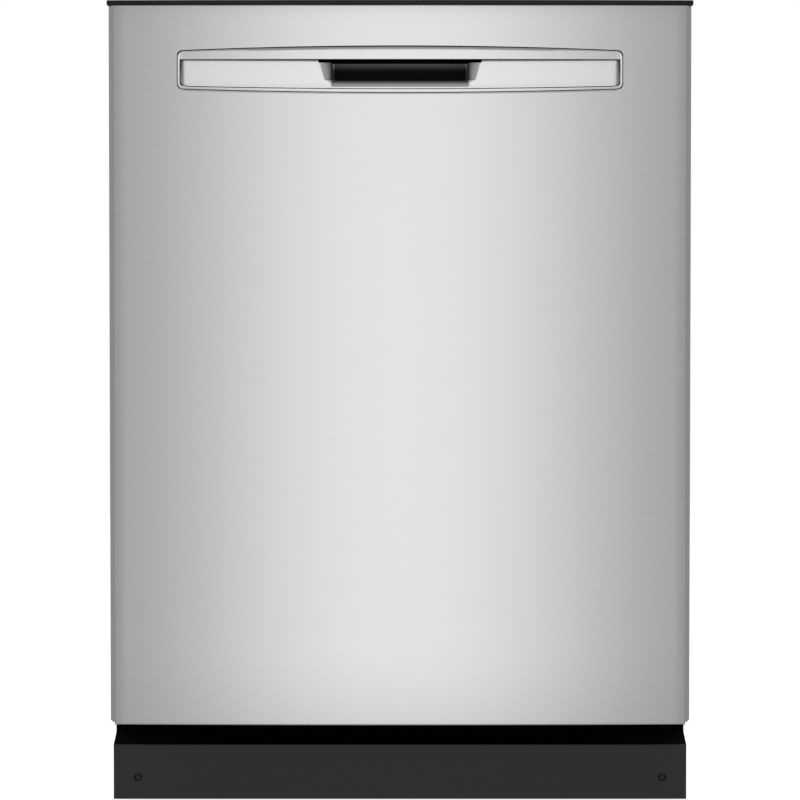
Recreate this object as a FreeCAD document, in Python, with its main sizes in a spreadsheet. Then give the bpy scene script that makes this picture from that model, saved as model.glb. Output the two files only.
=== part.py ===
import FreeCAD, Part
import os
import re
import Sketcher

# Built in dishwasher, millimetres, +Z up, front towards -Y.
# Origin: middle of the footprint, on the floor.

SIZES = {
    # whole machine
    "door_half": 302.5, "console_half": 304.4, "front_y": -317.5, "back_y": 317.5,
    "total_high": 840, "door_low": 86, "console_thick": 5.2, "door_bow": 7,
    "skin": 1, "skin_return": 27.5, "corner_round": 6,
    # door pivot and inner panel
    "pivot_y": -275, "pivot_z": 115, "inner_y": -257, "inner_sheet": 1.2,
    "inner_half": 300.6, "inner_low": 118, "inner_front": -299,
    # handle insert
    "handle_half": 231.3, "handle_low_end": 747.6, "handle_low_mid": 743.9,
    "handle_top_end": 787.9, "handle_top_mid": 792.8, "handle_round": 5.6, "handle_back": -278,
    "recess_half": 228.4, "recess_low": 749.5, "recess_top": 778.7, "recess_deep": 11,
    "grip_half_top": 84.7, "grip_half_low": 72, "grip_low": 756, "grip_back": -281,
    "grip_slot_top": 786, "grip_slot_front": -300,
    # tub
    "tub_half": 276, "tub_wall": 1.2, "tub_front": -250, "tub_back": 296, "tub_low": 118,
    "tub_top": 815, "floor_sheet": 2, "track_half": 252, "track_top": 134,
    "frame_front": -255, "frame_half": 296, "frame_low": 112, "frame_high": 832,
    "seal_front": -256.4, "seal_half_in": 279, "seal_half_out": 289, "seal_low": 136,
    "seal_top": 828, "blanket_thick": 10,
    # base
    "rail_low": 40, "rail_sheet": 3, "rail_in": 256, "rail_out": 298, "rail_web": 295,
    "base_front": -231.8, "base_bar": 40, "leg_x": 270, "leg_front_y": -208, "leg_back_y": 288,
    "leg_foot": 17, "leg_stud": 5, "leg_gap": 0.5,
    # toe kick
    "kick_half": 303.2, "kick_front": -255.5, "kick_bend": 57.8, "kick_back": -215,
    "kick_knee": 67, "kick_high": 100, "kick_sheet": 1.2, "kick_screw_x": 277.5,
    "kick_screw_z": 23,
    # sump group
    "sump_round": 118, "sump_low": 62, "sump_wall": 3, "arm_y": 40, "cup_y": -62,
    "cup_round": 34, "hub_round": 12, "hub_top": 152, "arm_fit": 0.08,
    "low_arm_reach": 222, "low_arm_z": 141, "mid_arm_reach": 212, "mid_arm_z": 450,
    "top_arm_reach": 150, "top_arm_z": 770, "arm_wide": 34, "arm_thick": 12,
    "heater_round": 202, "float_x": -205, "float_y": -205,
    # racks
    "wire": 3.4, "low_rack_half": 250, "low_rack_front": -216, "low_rack_back": 256,
    "low_rack_floor": 173, "low_rack_high": 130, "wheel_round": 14, "wheel_z": 148.3,
    "wheel_x": 258, "wheel_wide": 9, "wheel_front_y": -114, "wheel_back_y": 150,
    "up_rack_half": 250, "up_rack_front": -240, "up_rack_back": 254, "up_rack_floor": 484,
    "up_rack_high": 118, "slide_z": 585, "slide_reach": 235,
    # dispenser on the inner door
    "disp_half": 110, "disp_low": 335, "disp_top": 465, "disp_deep": 30, "disp_proud": 6,
    "cup_x_low": -100, "cup_x_high": -30, "vent_x": 165, "vent_z": 650, "vent_round": 38,
}

DOC = FreeCAD.newDocument("BuiltInDishwasher")
SHEET = DOC.addObject("Spreadsheet::Sheet", "Sizes")
for row, (alias, value) in enumerate(SIZES.items(), start=1):
    SHEET.set("A%d" % row, alias)
    SHEET.set("B%d" % row, str(value))
    SHEET.setAlias("B%d" % row, alias)
DOC.recompute()

NODES = []
TURN = {"x": FreeCAD.Rotation(FreeCAD.Vector(0, 1, 0), 90),
        "y": FreeCAD.Rotation(FreeCAD.Vector(1, 0, 0), -90),
        "z": FreeCAD.Rotation()}


def bound(text):
    """Write a size rule so that every named size points at the sheet."""
    return re.sub(r"[a-z][a-z_]+", lambda m: "Sizes." + m.group(0), str(text))


def value(text):
    """Work out a size rule from the sheet, used only to draw a first shape."""
    return float(SHEET.evalExpression(bound(text)))


def place(piece, x, y, z):
    """Tie the position of a piece to the sheet."""
    for axis, rule in zip("xyz", (x, y, z)):
        piece.setExpression("Placement.Base." + axis, bound(rule))
    return piece


def box(x_low, x_high, y_low, y_high, z_low, z_high):
    """Block between six planes."""
    piece = DOC.addObject("Part::Box", "block")
    piece.setExpression("Length", bound("(%s) - (%s)" % (x_high, x_low)))
    piece.setExpression("Width", bound("(%s) - (%s)" % (y_high, y_low)))
    piece.setExpression("Height", bound("(%s) - (%s)" % (z_high, z_low)))
    return place(piece, x_low, y_low, z_low)


def rod(radius, length, x, y, z, axis="z"):
    """Round bar starting at a point and running along one axis."""
    piece = DOC.addObject("Part::Cylinder", "rod")
    piece.setExpression("Radius", bound(radius))
    piece.setExpression("Height", bound(length))
    piece.Placement = FreeCAD.Placement(FreeCAD.Vector(), TURN[axis])
    return place(piece, x, y, z)


def both_sides(make):
    """The same piece on the left (-1) and on the right (+1)."""
    return [make(-1), make(1)]


def side_box(side, x_in, x_out, y_low, y_high, z_low, z_high):
    """Block given by its distances from the middle plane, on one side."""
    if side > 0:
        return box(x_in, x_out, y_low, y_high, z_low, z_high)
    return box("-(%s)" % x_out, "-(%s)" % x_in, y_low, y_high, z_low, z_high)


def fuse(*pieces):
    """Weld pieces into one solid."""
    piece = DOC.addObject("Part::MultiFuse", "weld")
    piece.Shapes = list(pieces)
    return piece


def cut(base, *tools):
    """Take the tools out of the base."""
    piece = DOC.addObject("Part::Cut", "cut")
    piece.Base = base
    piece.Tool = tools[0] if len(tools) == 1 else fuse(*tools)
    return piece


def common(first, second):
    """Keep what two pieces share."""
    piece = DOC.addObject("Part::MultiCommon", "shared")
    piece.Shapes = [first, second]
    return piece


def group(*pieces):
    """Several separate solids that make one sub-part."""
    piece = DOC.addObject("Part::Compound", "set")
    piece.Links = list(pieces)
    return piece


def keep(name, piece):
    """Mark a piece as a finished sub-part under its own name."""
    piece.Label = name
    NODES.append(piece)
    return piece


def new_sketch(body, plane, offset=None):
    """Sketch on one of the body's own planes."""
    sketch = body.newObject("Sketcher::SketchObject", "sketch")
    origin_plane = [item for item in body.Origin.OriginFeatures if item.Role == plane][0]
    sketch.AttachmentSupport = [(origin_plane, "")]
    sketch.MapMode = "FlatFace"
    if offset:
        sketch.setExpression("AttachmentOffset.Base.z", bound(offset))
    return sketch


def pin_point(sketch, edge, end, across, up):
    """Hold one sketch corner at two sheet sizes."""
    for kind, rule in (("DistanceX", across), ("DistanceY", up)):
        index = sketch.addConstraint(Sketcher.Constraint(kind, -1, 1, edge, end, value(rule)))
        sketch.setExpression("Constraints[%d]" % index, bound(rule))


def outline(sketch, corners, bulges=None):
    """Closed outline through corners; an edge with a bulge is an arc that rises by it."""
    bulges = bulges or {}
    points = [FreeCAD.Vector(value(a), value(b), 0) for a, b in corners]
    count = len(points)
    ends = []
    for index in range(count):
        start, stop = points[index], points[(index + 1) % count]
        if index in bulges:
            rise = value(bulges[index])
            chord = stop - start
            side = FreeCAD.Vector(chord.y, -chord.x, 0).normalize()
            sketch.addGeometry(Part.Arc(start, (start + stop) * 0.5 + side * rise, stop))
        else:
            sketch.addGeometry(Part.LineSegment(start, stop))
        first = 1 if (sketch.getPoint(index, 1) - start).Length < 1e-4 else 2
        ends.append((first, 3 - first))
    for index in range(count):
        following = (index + 1) % count
        sketch.addConstraint(Sketcher.Constraint("Coincident", index, ends[index][1],
                                                 following, ends[following][0]))
    for index, (across, up) in enumerate(corners):
        pin_point(sketch, index, ends[index][0], across, up)
    for index, rise in bulges.items():
        half = "((%s) - (%s)) / 2" % (corners[(index + 1) % count][0], corners[index][0])
        rule = "((%s) * (%s) + (%s) * (%s)) / (2 * (%s))" % (half, half, rise, rise, rise)
        number = sketch.addConstraint(Sketcher.Constraint("Radius", index, value(rule)))
        sketch.setExpression("Constraints[%d]" % number, bound(rule))


def prism(plane, corners, length, bulges=None, offset=None, midplane=False):
    """Outline on a plane, pulled out along the plane's normal."""
    body = DOC.addObject("PartDesign::Body", "body")
    sketch = new_sketch(body, plane, offset)
    outline(sketch, corners, bulges)
    pad = body.newObject("PartDesign::Pad", "pad")
    pad.Profile = sketch
    pad.setExpression("Length", bound(length))
    pad.Midplane = midplane
    DOC.recompute()
    return body, pad


def round_edges(body, base, radius, chosen):
    """Round every edge the test picks."""
    names = ["Edge%d" % (i + 1) for i, edge in enumerate(base.Shape.Edges) if chosen(edge)]
    fillet = body.newObject("PartDesign::Fillet", "fillet")
    fillet.Base = (base, names)
    fillet.setExpression("Radius", bound(radius))
    DOC.recompute()
    return fillet


def bowed_block(half, back, z_low, z_high, rounded=None):
    """Upright block whose front face bows gently forward."""
    edge_y = "front_y + door_bow * (%s) * (%s) / (door_half * door_half)" % (half, half)
    rise = "door_bow * (%s) * (%s) / (door_half * door_half)" % (half, half)
    corners = [("-(%s)" % half, edge_y), (half, edge_y), (half, back), ("-(%s)" % half, back)]
    body, pad = prism("XY_Plane", corners, "(%s) - (%s)" % (z_high, z_low), {0: rise}, z_low)
    if not rounded:
        return body, pad
    front = min(vertex.Y for vertex in pad.Shape.Vertexes) + 0.01
    return body, round_edges(body, pad, rounded, lambda e: e.BoundBox.ZLength > 1
                             and e.BoundBox.YMax < front)


def barrel(half, low_end, low_mid, top_end, top_mid, radius):
    """Handle outline: straight sides, top and bottom edges gently arched, rounded corners."""
    corners = [("-(%s)" % half, low_end), (half, low_end), (half, top_end),
               ("-(%s)" % half, top_end)]
    bulges = {0: "(%s) - (%s)" % (low_end, low_mid), 2: "(%s) - (%s)" % (top_mid, top_end)}
    body, pad = prism("XZ_Plane", corners, 120, bulges, "-front_y - 60", False)
    round_edges(body, pad, radius, lambda e: e.BoundBox.XLength < 0.01 and e.BoundBox.ZLength < 0.01)
    return body


def door_outer_panel():
    """Stainless skin: bowed front, rounded sides, returns, handle opening."""
    body, rounded = bowed_block("door_half", "front_y + door_bow + skin_return", "door_low",
                                "total_high - console_thick", "corner_round")
    back = value("front_y + door_bow + skin_return")
    open_faces = ["Face%d" % (i + 1) for i, face in enumerate(rounded.Shape.Faces)
                  if abs(face.BoundBox.YMin - back) < 0.01 or face.BoundBox.ZLength < 0.01]
    shell = body.newObject("PartDesign::Thickness", "shell")
    shell.Base = (rounded, open_faces)
    shell.setExpression("Value", bound("skin"))
    shell.Reversed = True
    body.Tip = shell
    opening = barrel("handle_half", "handle_low_end", "handle_low_mid", "handle_top_end",
                     "handle_top_mid", "handle_round")
    keep("door_outer_panel", cut(body, opening))


def handle_insert():
    """Moulded handle insert: bezel, shallow recess and a deep finger grip."""
    block, _ = bowed_block("handle_half", "handle_back", "handle_low_mid - 4", "handle_top_mid + 4")
    edge = barrel("handle_half - 0.3", "handle_low_end + 0.3", "handle_low_mid + 0.3",
                  "handle_top_end - 0.3", "handle_top_mid - 0.3", "handle_round")
    recess = box("-recess_half", "recess_half", "front_y - 5", "front_y + recess_deep",
                 "recess_low", "recess_top")
    grip, _ = prism("XZ_Plane", [("-grip_half_low", "grip_low"), ("grip_half_low", "grip_low"),
                                 ("grip_half_top", "recess_top"), ("-grip_half_top", "recess_top")],
                    "grip_back - front_y + 5", None, "-grip_back")
    slot = box("-grip_half_top", "grip_half_top", "grip_slot_front", "grip_back",
               "recess_top - 1", "grip_slot_top")
    keep("handle_insert", cut(common(block, edge), recess, grip, slot))


def control_console():
    """Dark top strip with a hollow housing under it and five button holes."""
    plate, _ = bowed_block("console_half", -262, "total_high - console_thick", "total_high", 3)
    shell = box(-297, 297, -303, -262, 797, "total_high - console_thick")
    hollow = box(-295, 295, -301, -264, 799, "total_high - console_thick")
    holes = [box(x - 9.4, x + 9.4, -290.4, -279.6, 830, 845) for x in button_places()]
    keep("control_console", cut(fuse(plate, cut(shell, hollow)), *holes))


def button_places():
    """Middle of each console button across the door."""
    return [-180, -90, 0, 90, 180]


def buttons():
    """Five push buttons, a lip under the plate keeps each one in."""
    names = ["power_button", "cycle_button", "heated_dry_button", "delay_button", "start_button"]
    for name, x in zip(names, button_places()):
        cap = box(x - 9, x + 9, -290, -280, "total_high - console_thick - 3", "total_high - 0.3")
        lip = box(x - 12, x + 12, -293, -277, "total_high - console_thick - 3",
                  "total_high - console_thick - 0.4")
        keep(name, fuse(cap, lip))


def door_inner_panel():
    """Inner door sheet with side and top flanges, holes for dispenser and vent."""
    outer = box("-inner_half", "inner_half", "inner_front", "inner_y", "inner_low",
                "total_high - console_thick - 0.4")
    hollow = box("-inner_half + inner_sheet", "inner_half - inner_sheet", "inner_front - 1",
                 "inner_y - inner_sheet", "inner_low - 1", "total_high + 5")
    dispenser = box("-disp_half", "disp_half", -270, -250, "disp_low", "disp_top")
    vent = rod("vent_round - 4", 20, "vent_x", -270, "vent_z", "y")
    latch = box(-31, 31, -270, -250, 796, 812)
    keep("door_inner_panel", cut(outer, hollow, dispenser, vent, latch))


def door_fittings():
    """Latch, vent, insulation, bottom seal."""
    case = box(-30, 30, -262, "inner_y", 797, 811)
    tongue = box(-9, 9, "inner_y", -240, 801, 809)
    eye = box(-5, 5, -250, -244, 798, 812)
    keep("door_latch", cut(fuse(case, tongue), eye))
    ring = rod("vent_round", 4, "vent_x", "inner_y", "vent_z", "y")
    neck = rod("vent_round - 4.5", 12, "vent_x", "inner_y - 12", "vent_z", "y")
    slots = [box("vent_x - 26", "vent_x + 26", "inner_y - 13", "inner_y + 5",
                 "vent_z + %d" % z, "vent_z + %d" % (z + 5)) for z in (-22, -12, -2, 8, 18)]
    keep("door_vent", cut(fuse(ring, neck), *slots))
    keep("door_insulation", box(-280, 280, -307, -289, 125, 735))
    strip = box(-280, 280, -300, -290, 89, 96)
    flap = box(-280, 280, -297, -294, 96, 121)
    keep("door_bottom_seal", group(strip, flap))


def hinge_arms():
    """Steel arms inside the door that turn on the cabinet pins."""
    def arm(side):
        web = side_box(side, 288, 291.6, "pivot_y - 8", "pivot_y + 8", "pivot_z - 9", 300)
        plate = side_box(side, 288, 291.6, "pivot_y", "inner_y - inner_sheet", 160, 290)
        tab = side_box(side, 272, 291.6, "inner_y - inner_sheet - 2", "inner_y - inner_sheet",
                       160, 290)
        hole = rod("4 + 0.05", 620, -310, "pivot_y", "pivot_z", "x")
        return cut(fuse(web, plate, tab), hole)
    keep("hinge_arms", group(*both_sides(arm)))


def hinge_brackets():
    """Cabinet plates that carry the door pins."""
    def bracket(side):
        ring = rod(9, 3, 292 if side > 0 else -295, "pivot_y", "pivot_z", "x")
        bar = side_box(side, 292, 295, "pivot_y", -170, 100.6, "frame_low - 1")
        pin = rod(4, 8, 287 if side > 0 else -295, "pivot_y", "pivot_z", "x")
        return fuse(ring, bar, pin)
    keep("hinge_brackets", group(*both_sides(bracket)))


def dispenser():
    """Detergent cup housing, its sliding lid and the rinse aid cap."""
    lid_low, lid_high = 352, 448
    front = "inner_y + disp_proud"
    case = box("-disp_half", "disp_half", "inner_y - disp_deep", front, "disp_low", "disp_top")
    cup = box("cup_x_low", "cup_x_high", "inner_y - disp_deep + 3", "%s + 1" % front, 360, 440)
    well = rod(17.5, 16, 84, "%s - 15" % front, 400, "y")
    rails = [box(-106, 48, front, "%s + 4.4" % front, lid_high + 0.4, lid_high + 5),
             box(-106, 48, front, "%s + 4.4" % front, lid_low - 5, lid_low - 0.4),
             box(-106, 48, "%s + 2.8" % front, "%s + 4.4" % front, lid_high - 2, lid_high + 5),
             box(-106, 48, "%s + 2.8" % front, "%s + 4.4" % front, lid_low - 5, lid_low + 2)]
    keep("detergent_dispenser", cut(fuse(case, *rails), cup, well))
    lid = box(-104, -26, "%s + 0.4" % front, "%s + 2.4" % front, lid_low, lid_high)
    thumb = box(-44, -38, "%s + 2.4" % front, "%s + 6" % front, 385, 415)
    keep("detergent_lid", fuse(lid, thumb))
    cap = rod(17, 14, 84, "%s - 12" % front, 400, "y")
    bar = box(70, 98, "%s + 2" % front, "%s + 6" % front, 397, 403)
    keep("rinse_aid_cap", fuse(cap, bar))


def tub():
    """Five sheet walls of the wash tub."""
    for name, side in (("tub_left_wall", -1), ("tub_right_wall", 1)):
        keep(name, side_box(side, "tub_half", "tub_half + tub_wall", "tub_front", "tub_back",
                            "tub_low", "tub_top"))
    keep("tub_ceiling", box("-tub_half - tub_wall", "tub_half + tub_wall", "tub_front", "tub_back",
                            "tub_top", "tub_top + tub_wall"))
    keep("tub_back_wall", box("-tub_half - tub_wall", "tub_half + tub_wall", "tub_back",
                              "tub_back + tub_wall", "tub_low", "tub_top + tub_wall"))
    floor = box("-tub_half", "tub_half", "tub_front", "tub_back", "tub_low",
                "tub_low + floor_sheet")
    tracks = both_sides(lambda side: side_box(side, "track_half", "tub_half", "tub_front",
                                              "tub_back", "tub_low", "track_top"))
    hole = rod("sump_round - 6", 20, 0, 0, 110)
    float_hole = rod(4.6, 20, "float_x", "float_y", 110)
    keep("tub_floor", cut(fuse(floor, *tracks), hole, float_hole))


def tub_front():
    """Front frame round the opening with the strike, and the door seal in it."""
    plate = box("-frame_half", "frame_half", "frame_front", "tub_front", "frame_low", "frame_high")
    opening = box("-tub_half", "tub_half", "frame_front - 1", "tub_front + 1", "track_top",
                  "tub_top")
    groove = cut(box("-seal_half_out", "seal_half_out", "frame_front - 1", "frame_front + 3",
                     "seal_low", "seal_top"),
                 box("-seal_half_in", "seal_half_in", "frame_front - 2", "frame_front + 4",
                     "seal_low - 1", "seal_top - 10"))
    strike = box(-14, 14, "tub_front", -236, 811.5, "tub_top")
    keep("tub_front_frame", fuse(cut(plate, opening, groove), strike))
    ring = box("-seal_half_out", "seal_half_out", "seal_front", "frame_front + 3", "seal_low",
               "seal_top")
    hollow = box("-seal_half_in", "seal_half_in", "seal_front - 1", "frame_front + 4",
                 "seal_low - 1", "seal_top - 10")
    keep("door_gasket", cut(ring, hollow))


def sound_blanket():
    """Sound and heat blanket over the top, sides and back of the tub."""
    side = "tub_half + tub_wall"
    outer = box("-(%s + blanket_thick)" % side, "%s + blanket_thick" % side, "tub_front + 17",
                "tub_back + tub_wall + blanket_thick", 150, "tub_top + tub_wall + blanket_thick")
    inner = box("-(%s)" % side, side, "tub_front - 1", "tub_back + tub_wall", 140,
                "tub_top + tub_wall")
    keep("sound_blanket", cut(outer, inner))


def base_frame():
    """Rails, webs and cross bars that carry the tub, with tabs for the toe kick."""
    rail_top = "rail_low + rail_sheet"
    pieces = []
    for side in (-1, 1):
        pieces += [side_box(side, "rail_in", "rail_out", "base_front", "back_y", "rail_low",
                            rail_top),
                   side_box(side, "rail_web", "rail_out", -212, "back_y", rail_top, "tub_low - 3"),
                   side_box(side, "tub_half + tub_wall", "rail_out", -212, 300, "tub_low - 6",
                            "tub_low - 3"),
                   side_box(side, 266, 289, "kick_front + kick_sheet", "base_front", "rail_low",
                            rail_top),
                   side_box(side, 266, 289, "kick_front + kick_sheet",
                            "kick_front + kick_sheet + 2", 12, rail_top)]
    pieces += [box("-rail_in", "rail_in", "base_front", "base_front + base_bar", "rail_low",
                   rail_top),
               box("-rail_in", "rail_in", "back_y - base_bar", "back_y", "rail_low", rail_top),
               box("-rail_out", "rail_out", "back_y - 3", "back_y", rail_top, 150)]
    holes = [rod("leg_stud + leg_gap", 30, "%d * leg_x" % side, y, 20)
             for side in (-1, 1) for y in ("leg_front_y", "leg_back_y")]
    holes += [rod(2.3, 20, "%d * kick_screw_x" % side, "kick_front - 1", "kick_screw_z", "y")
              for side in (-1, 1)]
    keep("base_frame", cut(fuse(*pieces), *holes))


def toe_kick():
    """Dark lower front sheet: upright face, shelf running back, short upper upright."""
    corners = [("kick_front", 0), ("kick_front + kick_sheet", 0),
               ("kick_front + kick_sheet", "kick_bend - 1"),
               ("kick_back + kick_sheet", "kick_knee - 1"),
               ("kick_back + kick_sheet", "kick_high"), ("kick_back", "kick_high"),
               ("kick_back", "kick_knee"), ("kick_front", "kick_bend")]
    body, _ = prism("YZ_Plane", corners, "2 * kick_half", None, None, True)
    holes = [rod(2.3, 10, "%d * kick_screw_x" % side, "kick_front - 3", "kick_screw_z", "y")
             for side in (-1, 1)]
    keep("toe_kick", cut(body, *holes))

    def screw(side):
        x = "%d * kick_screw_x" % side
        head = rod(4.1, 2.4, x, "kick_front - 2.4", "kick_screw_z", "y")
        shank = rod(2.2, 12, x, "kick_front - 0.5", "kick_screw_z", "y")
        slots = [box("%s - %s" % (x, a), "%s + %s" % (x, a), "kick_front - 3", "kick_front - 1.4",
                     "kick_screw_z - %s" % b, "kick_screw_z + %s" % b)
                 for a, b in ((2.2, 0.5), (0.5, 2.2))]
        return cut(fuse(head, shank), *slots)
    keep("toe_kick_screws", group(*both_sides(screw)))


def levelling_legs():
    """Four screw feet in the base rails."""
    for name, side, y in (("front_left_leg", -1, "leg_front_y"), ("front_right_leg", 1, "leg_front_y"),
                          ("rear_left_leg", -1, "leg_back_y"), ("rear_right_leg", 1, "leg_back_y")):
        x = "%d * leg_x" % side
        keep(name, fuse(rod("leg_foot", 6, x, y, 0), rod("leg_stud + 2", 6, x, y, 6),
                        rod("leg_stud", 70, x, y, 6)))


def door_springs():
    """Counterbalance springs low in the base, one on each side."""
    def spring(side):
        x = "%d * 268" % side
        coil = rod(10, 150, x, -130, 75, "y")
        front_hook = rod(2, 35, x, -165, 75, "y")
        back_hook = rod(2, 35, x, 20, 75, "y")
        anchor = box("%s - 6" % x, "%s + 6" % x, 55, 58, 43, 84)
        return [coil, front_hook, back_hook, anchor]
    keep("door_springs", group(*(spring(-1) + spring(1))))


def sump_group():
    """Sump with spray hub, flat filter, lift-out filter cup, float, heater."""
    bowl = cut(rod("sump_round", "tub_low - sump_low", 0, 0, "sump_low"),
               rod("sump_round - sump_wall", 80, 0, 0, "sump_low + sump_wall"))
    hub = rod("hub_round", "hub_top - sump_low", 0, "arm_y", "sump_low")
    keep("sump", fuse(bowl, hub))
    disc = rod("sump_round - sump_wall - 0.4", 2.4, 0, 0, "tub_low - 2.4")
    keep("flat_filter", cut(disc, rod("hub_round + 0.4", 9, 0, "arm_y", 110),
                            rod("cup_round + 0.4", 9, 0, "cup_y", 110)))
    cup = cut(rod("cup_round", 58, 0, "cup_y", 70), rod("cup_round - 2", 60, 0, "cup_y", 72))
    grip = box(-32, 32, "cup_y - 3", "cup_y + 3", 118, 132)
    keep("filter_cup", fuse(cup, grip))
    keep("overfill_float", fuse(rod(17, 24, "float_x", "float_y", 124),
                                rod(4, 24, "float_x", "float_y", 101)))
    ring = DOC.addObject("Part::Torus", "ring")
    ring.setExpression("Radius1", bound("heater_round"))
    ring.Radius2 = 4
    place(ring, 0, "arm_y", 128)
    feet = [box(x - 3, x + 3, y - 3, y + 3, "tub_low + floor_sheet", 127)
            for x, y in ((202, 40), (-202, 40), (0, 242), (60, -153), (-60, -153))]
    keep("heating_element", fuse(ring, *feet))


def arm_blade(reach, z):
    """Blade of a spray arm, centred on the hub."""
    return box("-(%s)" % reach, reach, "arm_y - arm_wide / 2", "arm_y + arm_wide / 2", z,
               "%s + arm_thick" % z)


def spray_arms():
    """Lower, middle and top spray arms; the hub bores are running fits."""
    low = fuse(arm_blade("low_arm_reach", "low_arm_z"),
               rod(25, 20, 0, "arm_y", "low_arm_z - 5"))
    keep("lower_spray_arm", cut(low, rod("hub_round + arm_fit", 19, 0, "arm_y", "hub_top - 18.5")))
    mid = fuse(arm_blade("mid_arm_reach", "mid_arm_z"),
               rod(22, 16, 0, "arm_y", "mid_arm_z - 2"))
    keep("middle_spray_arm", cut(mid, rod("hub_round - 2 + arm_fit", 11, 0, "arm_y",
                                          "mid_arm_z + 5")))
    top = fuse(arm_blade("top_arm_reach", "top_arm_z"),
               rod(20, 15, 0, "arm_y", "top_arm_z - 1"))
    keep("top_spray_arm", cut(top, rod("hub_round - 2 + arm_fit", 11, 0, "arm_y", "top_arm_z + 5")))


def water_feed_tube():
    """Rear riser, ceiling tube and the hub of the top arm, with a dock for the upper rack."""
    riser = rod(12, 690, 0, 282, 120)
    branch = rod(7, 250, 0, "arm_y", 806, "y")
    hub = rod("hub_round - 2", "812 - top_arm_z - 8", 0, "arm_y", "top_arm_z + 8")
    dock = rod(9, 24, 0, 258, 476, "y")
    keep("water_feed_tube", fuse(riser, branch, hub, dock))


def under_tub_units():
    """Pumps, inlet valve and junction box under the tub floor, ports facing down."""
    neck = rod(16, "135 - sump_round - 0.2", "sump_round + 0.2", 0, 84, "x")
    keep("wash_pump", group(neck, rod(33, 70, 135, 0, 84, "x"), rod(27, 32, 205, 0, 84, "x")))
    drain_neck = rod(12, 14, "-sump_round - 14.2", 0, 84, "x")
    drain_case = fuse(rod(26, "198 - sump_round - 14.2", -198, 0, 84, "x"),
                      rod(15, 14, -170, 0, 54), rod(10, 34, -170, 0, 30))
    keep("drain_pump", group(drain_neck, cut(drain_case, rod(7.5, 34, -170, 0, 28))))
    spigot = cut(rod(11, 22, -210, -165, 21), rod(7, 24, -210, -165, 20))
    keep("inlet_valve", group(box(-235, -185, -190, -140, 43, 90), spigot,
                              rod(13, 14, -210, -165, 90)))
    bottom = cut(box(180, 250, -190, -130, 43, 45), rod(11, 6, 215, -160, 41))
    walls = [box(180, 182, -190, -130, 45, 96), box(248, 250, -190, -130, 45, 96),
             box(182, 248, -190, -188, 45, 96), box(182, 248, -132, -130, 45, 96)]
    keep("junction_box", group(bottom, *walls, box(180, 250, -190, -130, 96, 98)))


def mounting_brackets():
    """Two top tabs with screw holes for fixing under a counter."""
    def tab(side):
        plate = side_box(side, 190, 230, "frame_front", -205, "frame_high", "frame_high + 2")
        foot = side_box(side, 190, 230, "tub_front", -235, "tub_top + tub_wall", "frame_high")
        holes = [rod(2.6, 12, "%d * %d" % (side, x), -220, "frame_high - 4") for x in (200, 220)]
        return cut(fuse(plate, foot), *holes)
    keep("mounting_brackets", group(*both_sides(tab)))


def rack_slides():
    """Telescoping runners of the upper rack: fixed tracks and middle rails."""
    def track(side):
        web = side_box(side, "tub_half - 1.5", "tub_half", -246, "slide_reach", "slide_z - 15",
                       "slide_z + 15")
        top = side_box(side, 263, "tub_half", -246, "slide_reach", "slide_z + 13.5", "slide_z + 15")
        low = side_box(side, 263, "tub_half", -246, "slide_reach", "slide_z - 15", "slide_z - 13.5")
        return fuse(web, top, low)
    keep("rack_tracks", group(*both_sides(track)))
    keep("slide_rails", group(*both_sides(lambda side: side_box(
        side, 269, 273.6, -244, "slide_reach - 4", "slide_z - 12.6", "slide_z + 12.6"))))


def rack(half, front, back, floor, high, across, along, uprights):
    """Coated wire basket as five flat grilles: floor, front, back, left, right."""
    wire_top = "%s + wire" % floor
    rim = "%s + %s + wire" % (floor, high)
    levels = ["%s + %s" % (floor, high), "%s + %s * 0.5" % (floor, high)]
    floor_wires = []
    for index in range(across + 1):
        y = "%s + (%s - %s - wire) * %d / %d" % (front, back, front, index, across)
        floor_wires.append(box("-(%s)" % half, half, y, "%s + wire" % y, floor, wire_top))
    for index in range(along + 1):
        x = "-(%s) + (2 * %s - wire) * %d / %d" % (half, half, index, along)
        floor_wires.append(box(x, "%s + wire" % x, front, back, floor, wire_top))
    grilles = [fuse(*floor_wires)]
    for y in (front, "%s - wire" % back):
        wires = [box("-(%s)" % half, half, y, "%s + wire" % y, z, "%s + wire" % z) for z in levels]
        for index in range(uprights + 1):
            x = "-(%s) + (2 * %s - wire) * %d / %d" % (half, half, index, uprights)
            wires.append(box(x, "%s + wire" % x, y, "%s + wire" % y, wire_top, rim))
        grilles.append(fuse(*wires))
    for x in ("-(%s)" % half, "%s - wire" % half):
        wires = [box(x, "%s + wire" % x, "%s + wire" % front, "%s - wire" % back, z, "%s + wire" % z)
                 for z in levels]
        for index in range(1, uprights):
            y = "%s + (%s - %s - wire) * %d / %d" % (front, back, front, index, uprights)
            wires.append(box(x, "%s + wire" % x, y, "%s + wire" % y, wire_top, rim))
        grilles.append(fuse(*wires))
    return grilles


def tine_row(x, y_low, y_high, z, z_top, pitch):
    """Row of upright tines on one round wire that runs front to back."""
    base = rod("wire / 2", y_high - y_low, x, y_low, z, "y")
    tines = [rod("wire / 2 - 0.1", "%s - %s" % (z_top, z), x, y, z)
             for y in range(y_low + 10, y_high - 5, pitch)]
    return fuse(base, *tines)


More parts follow.
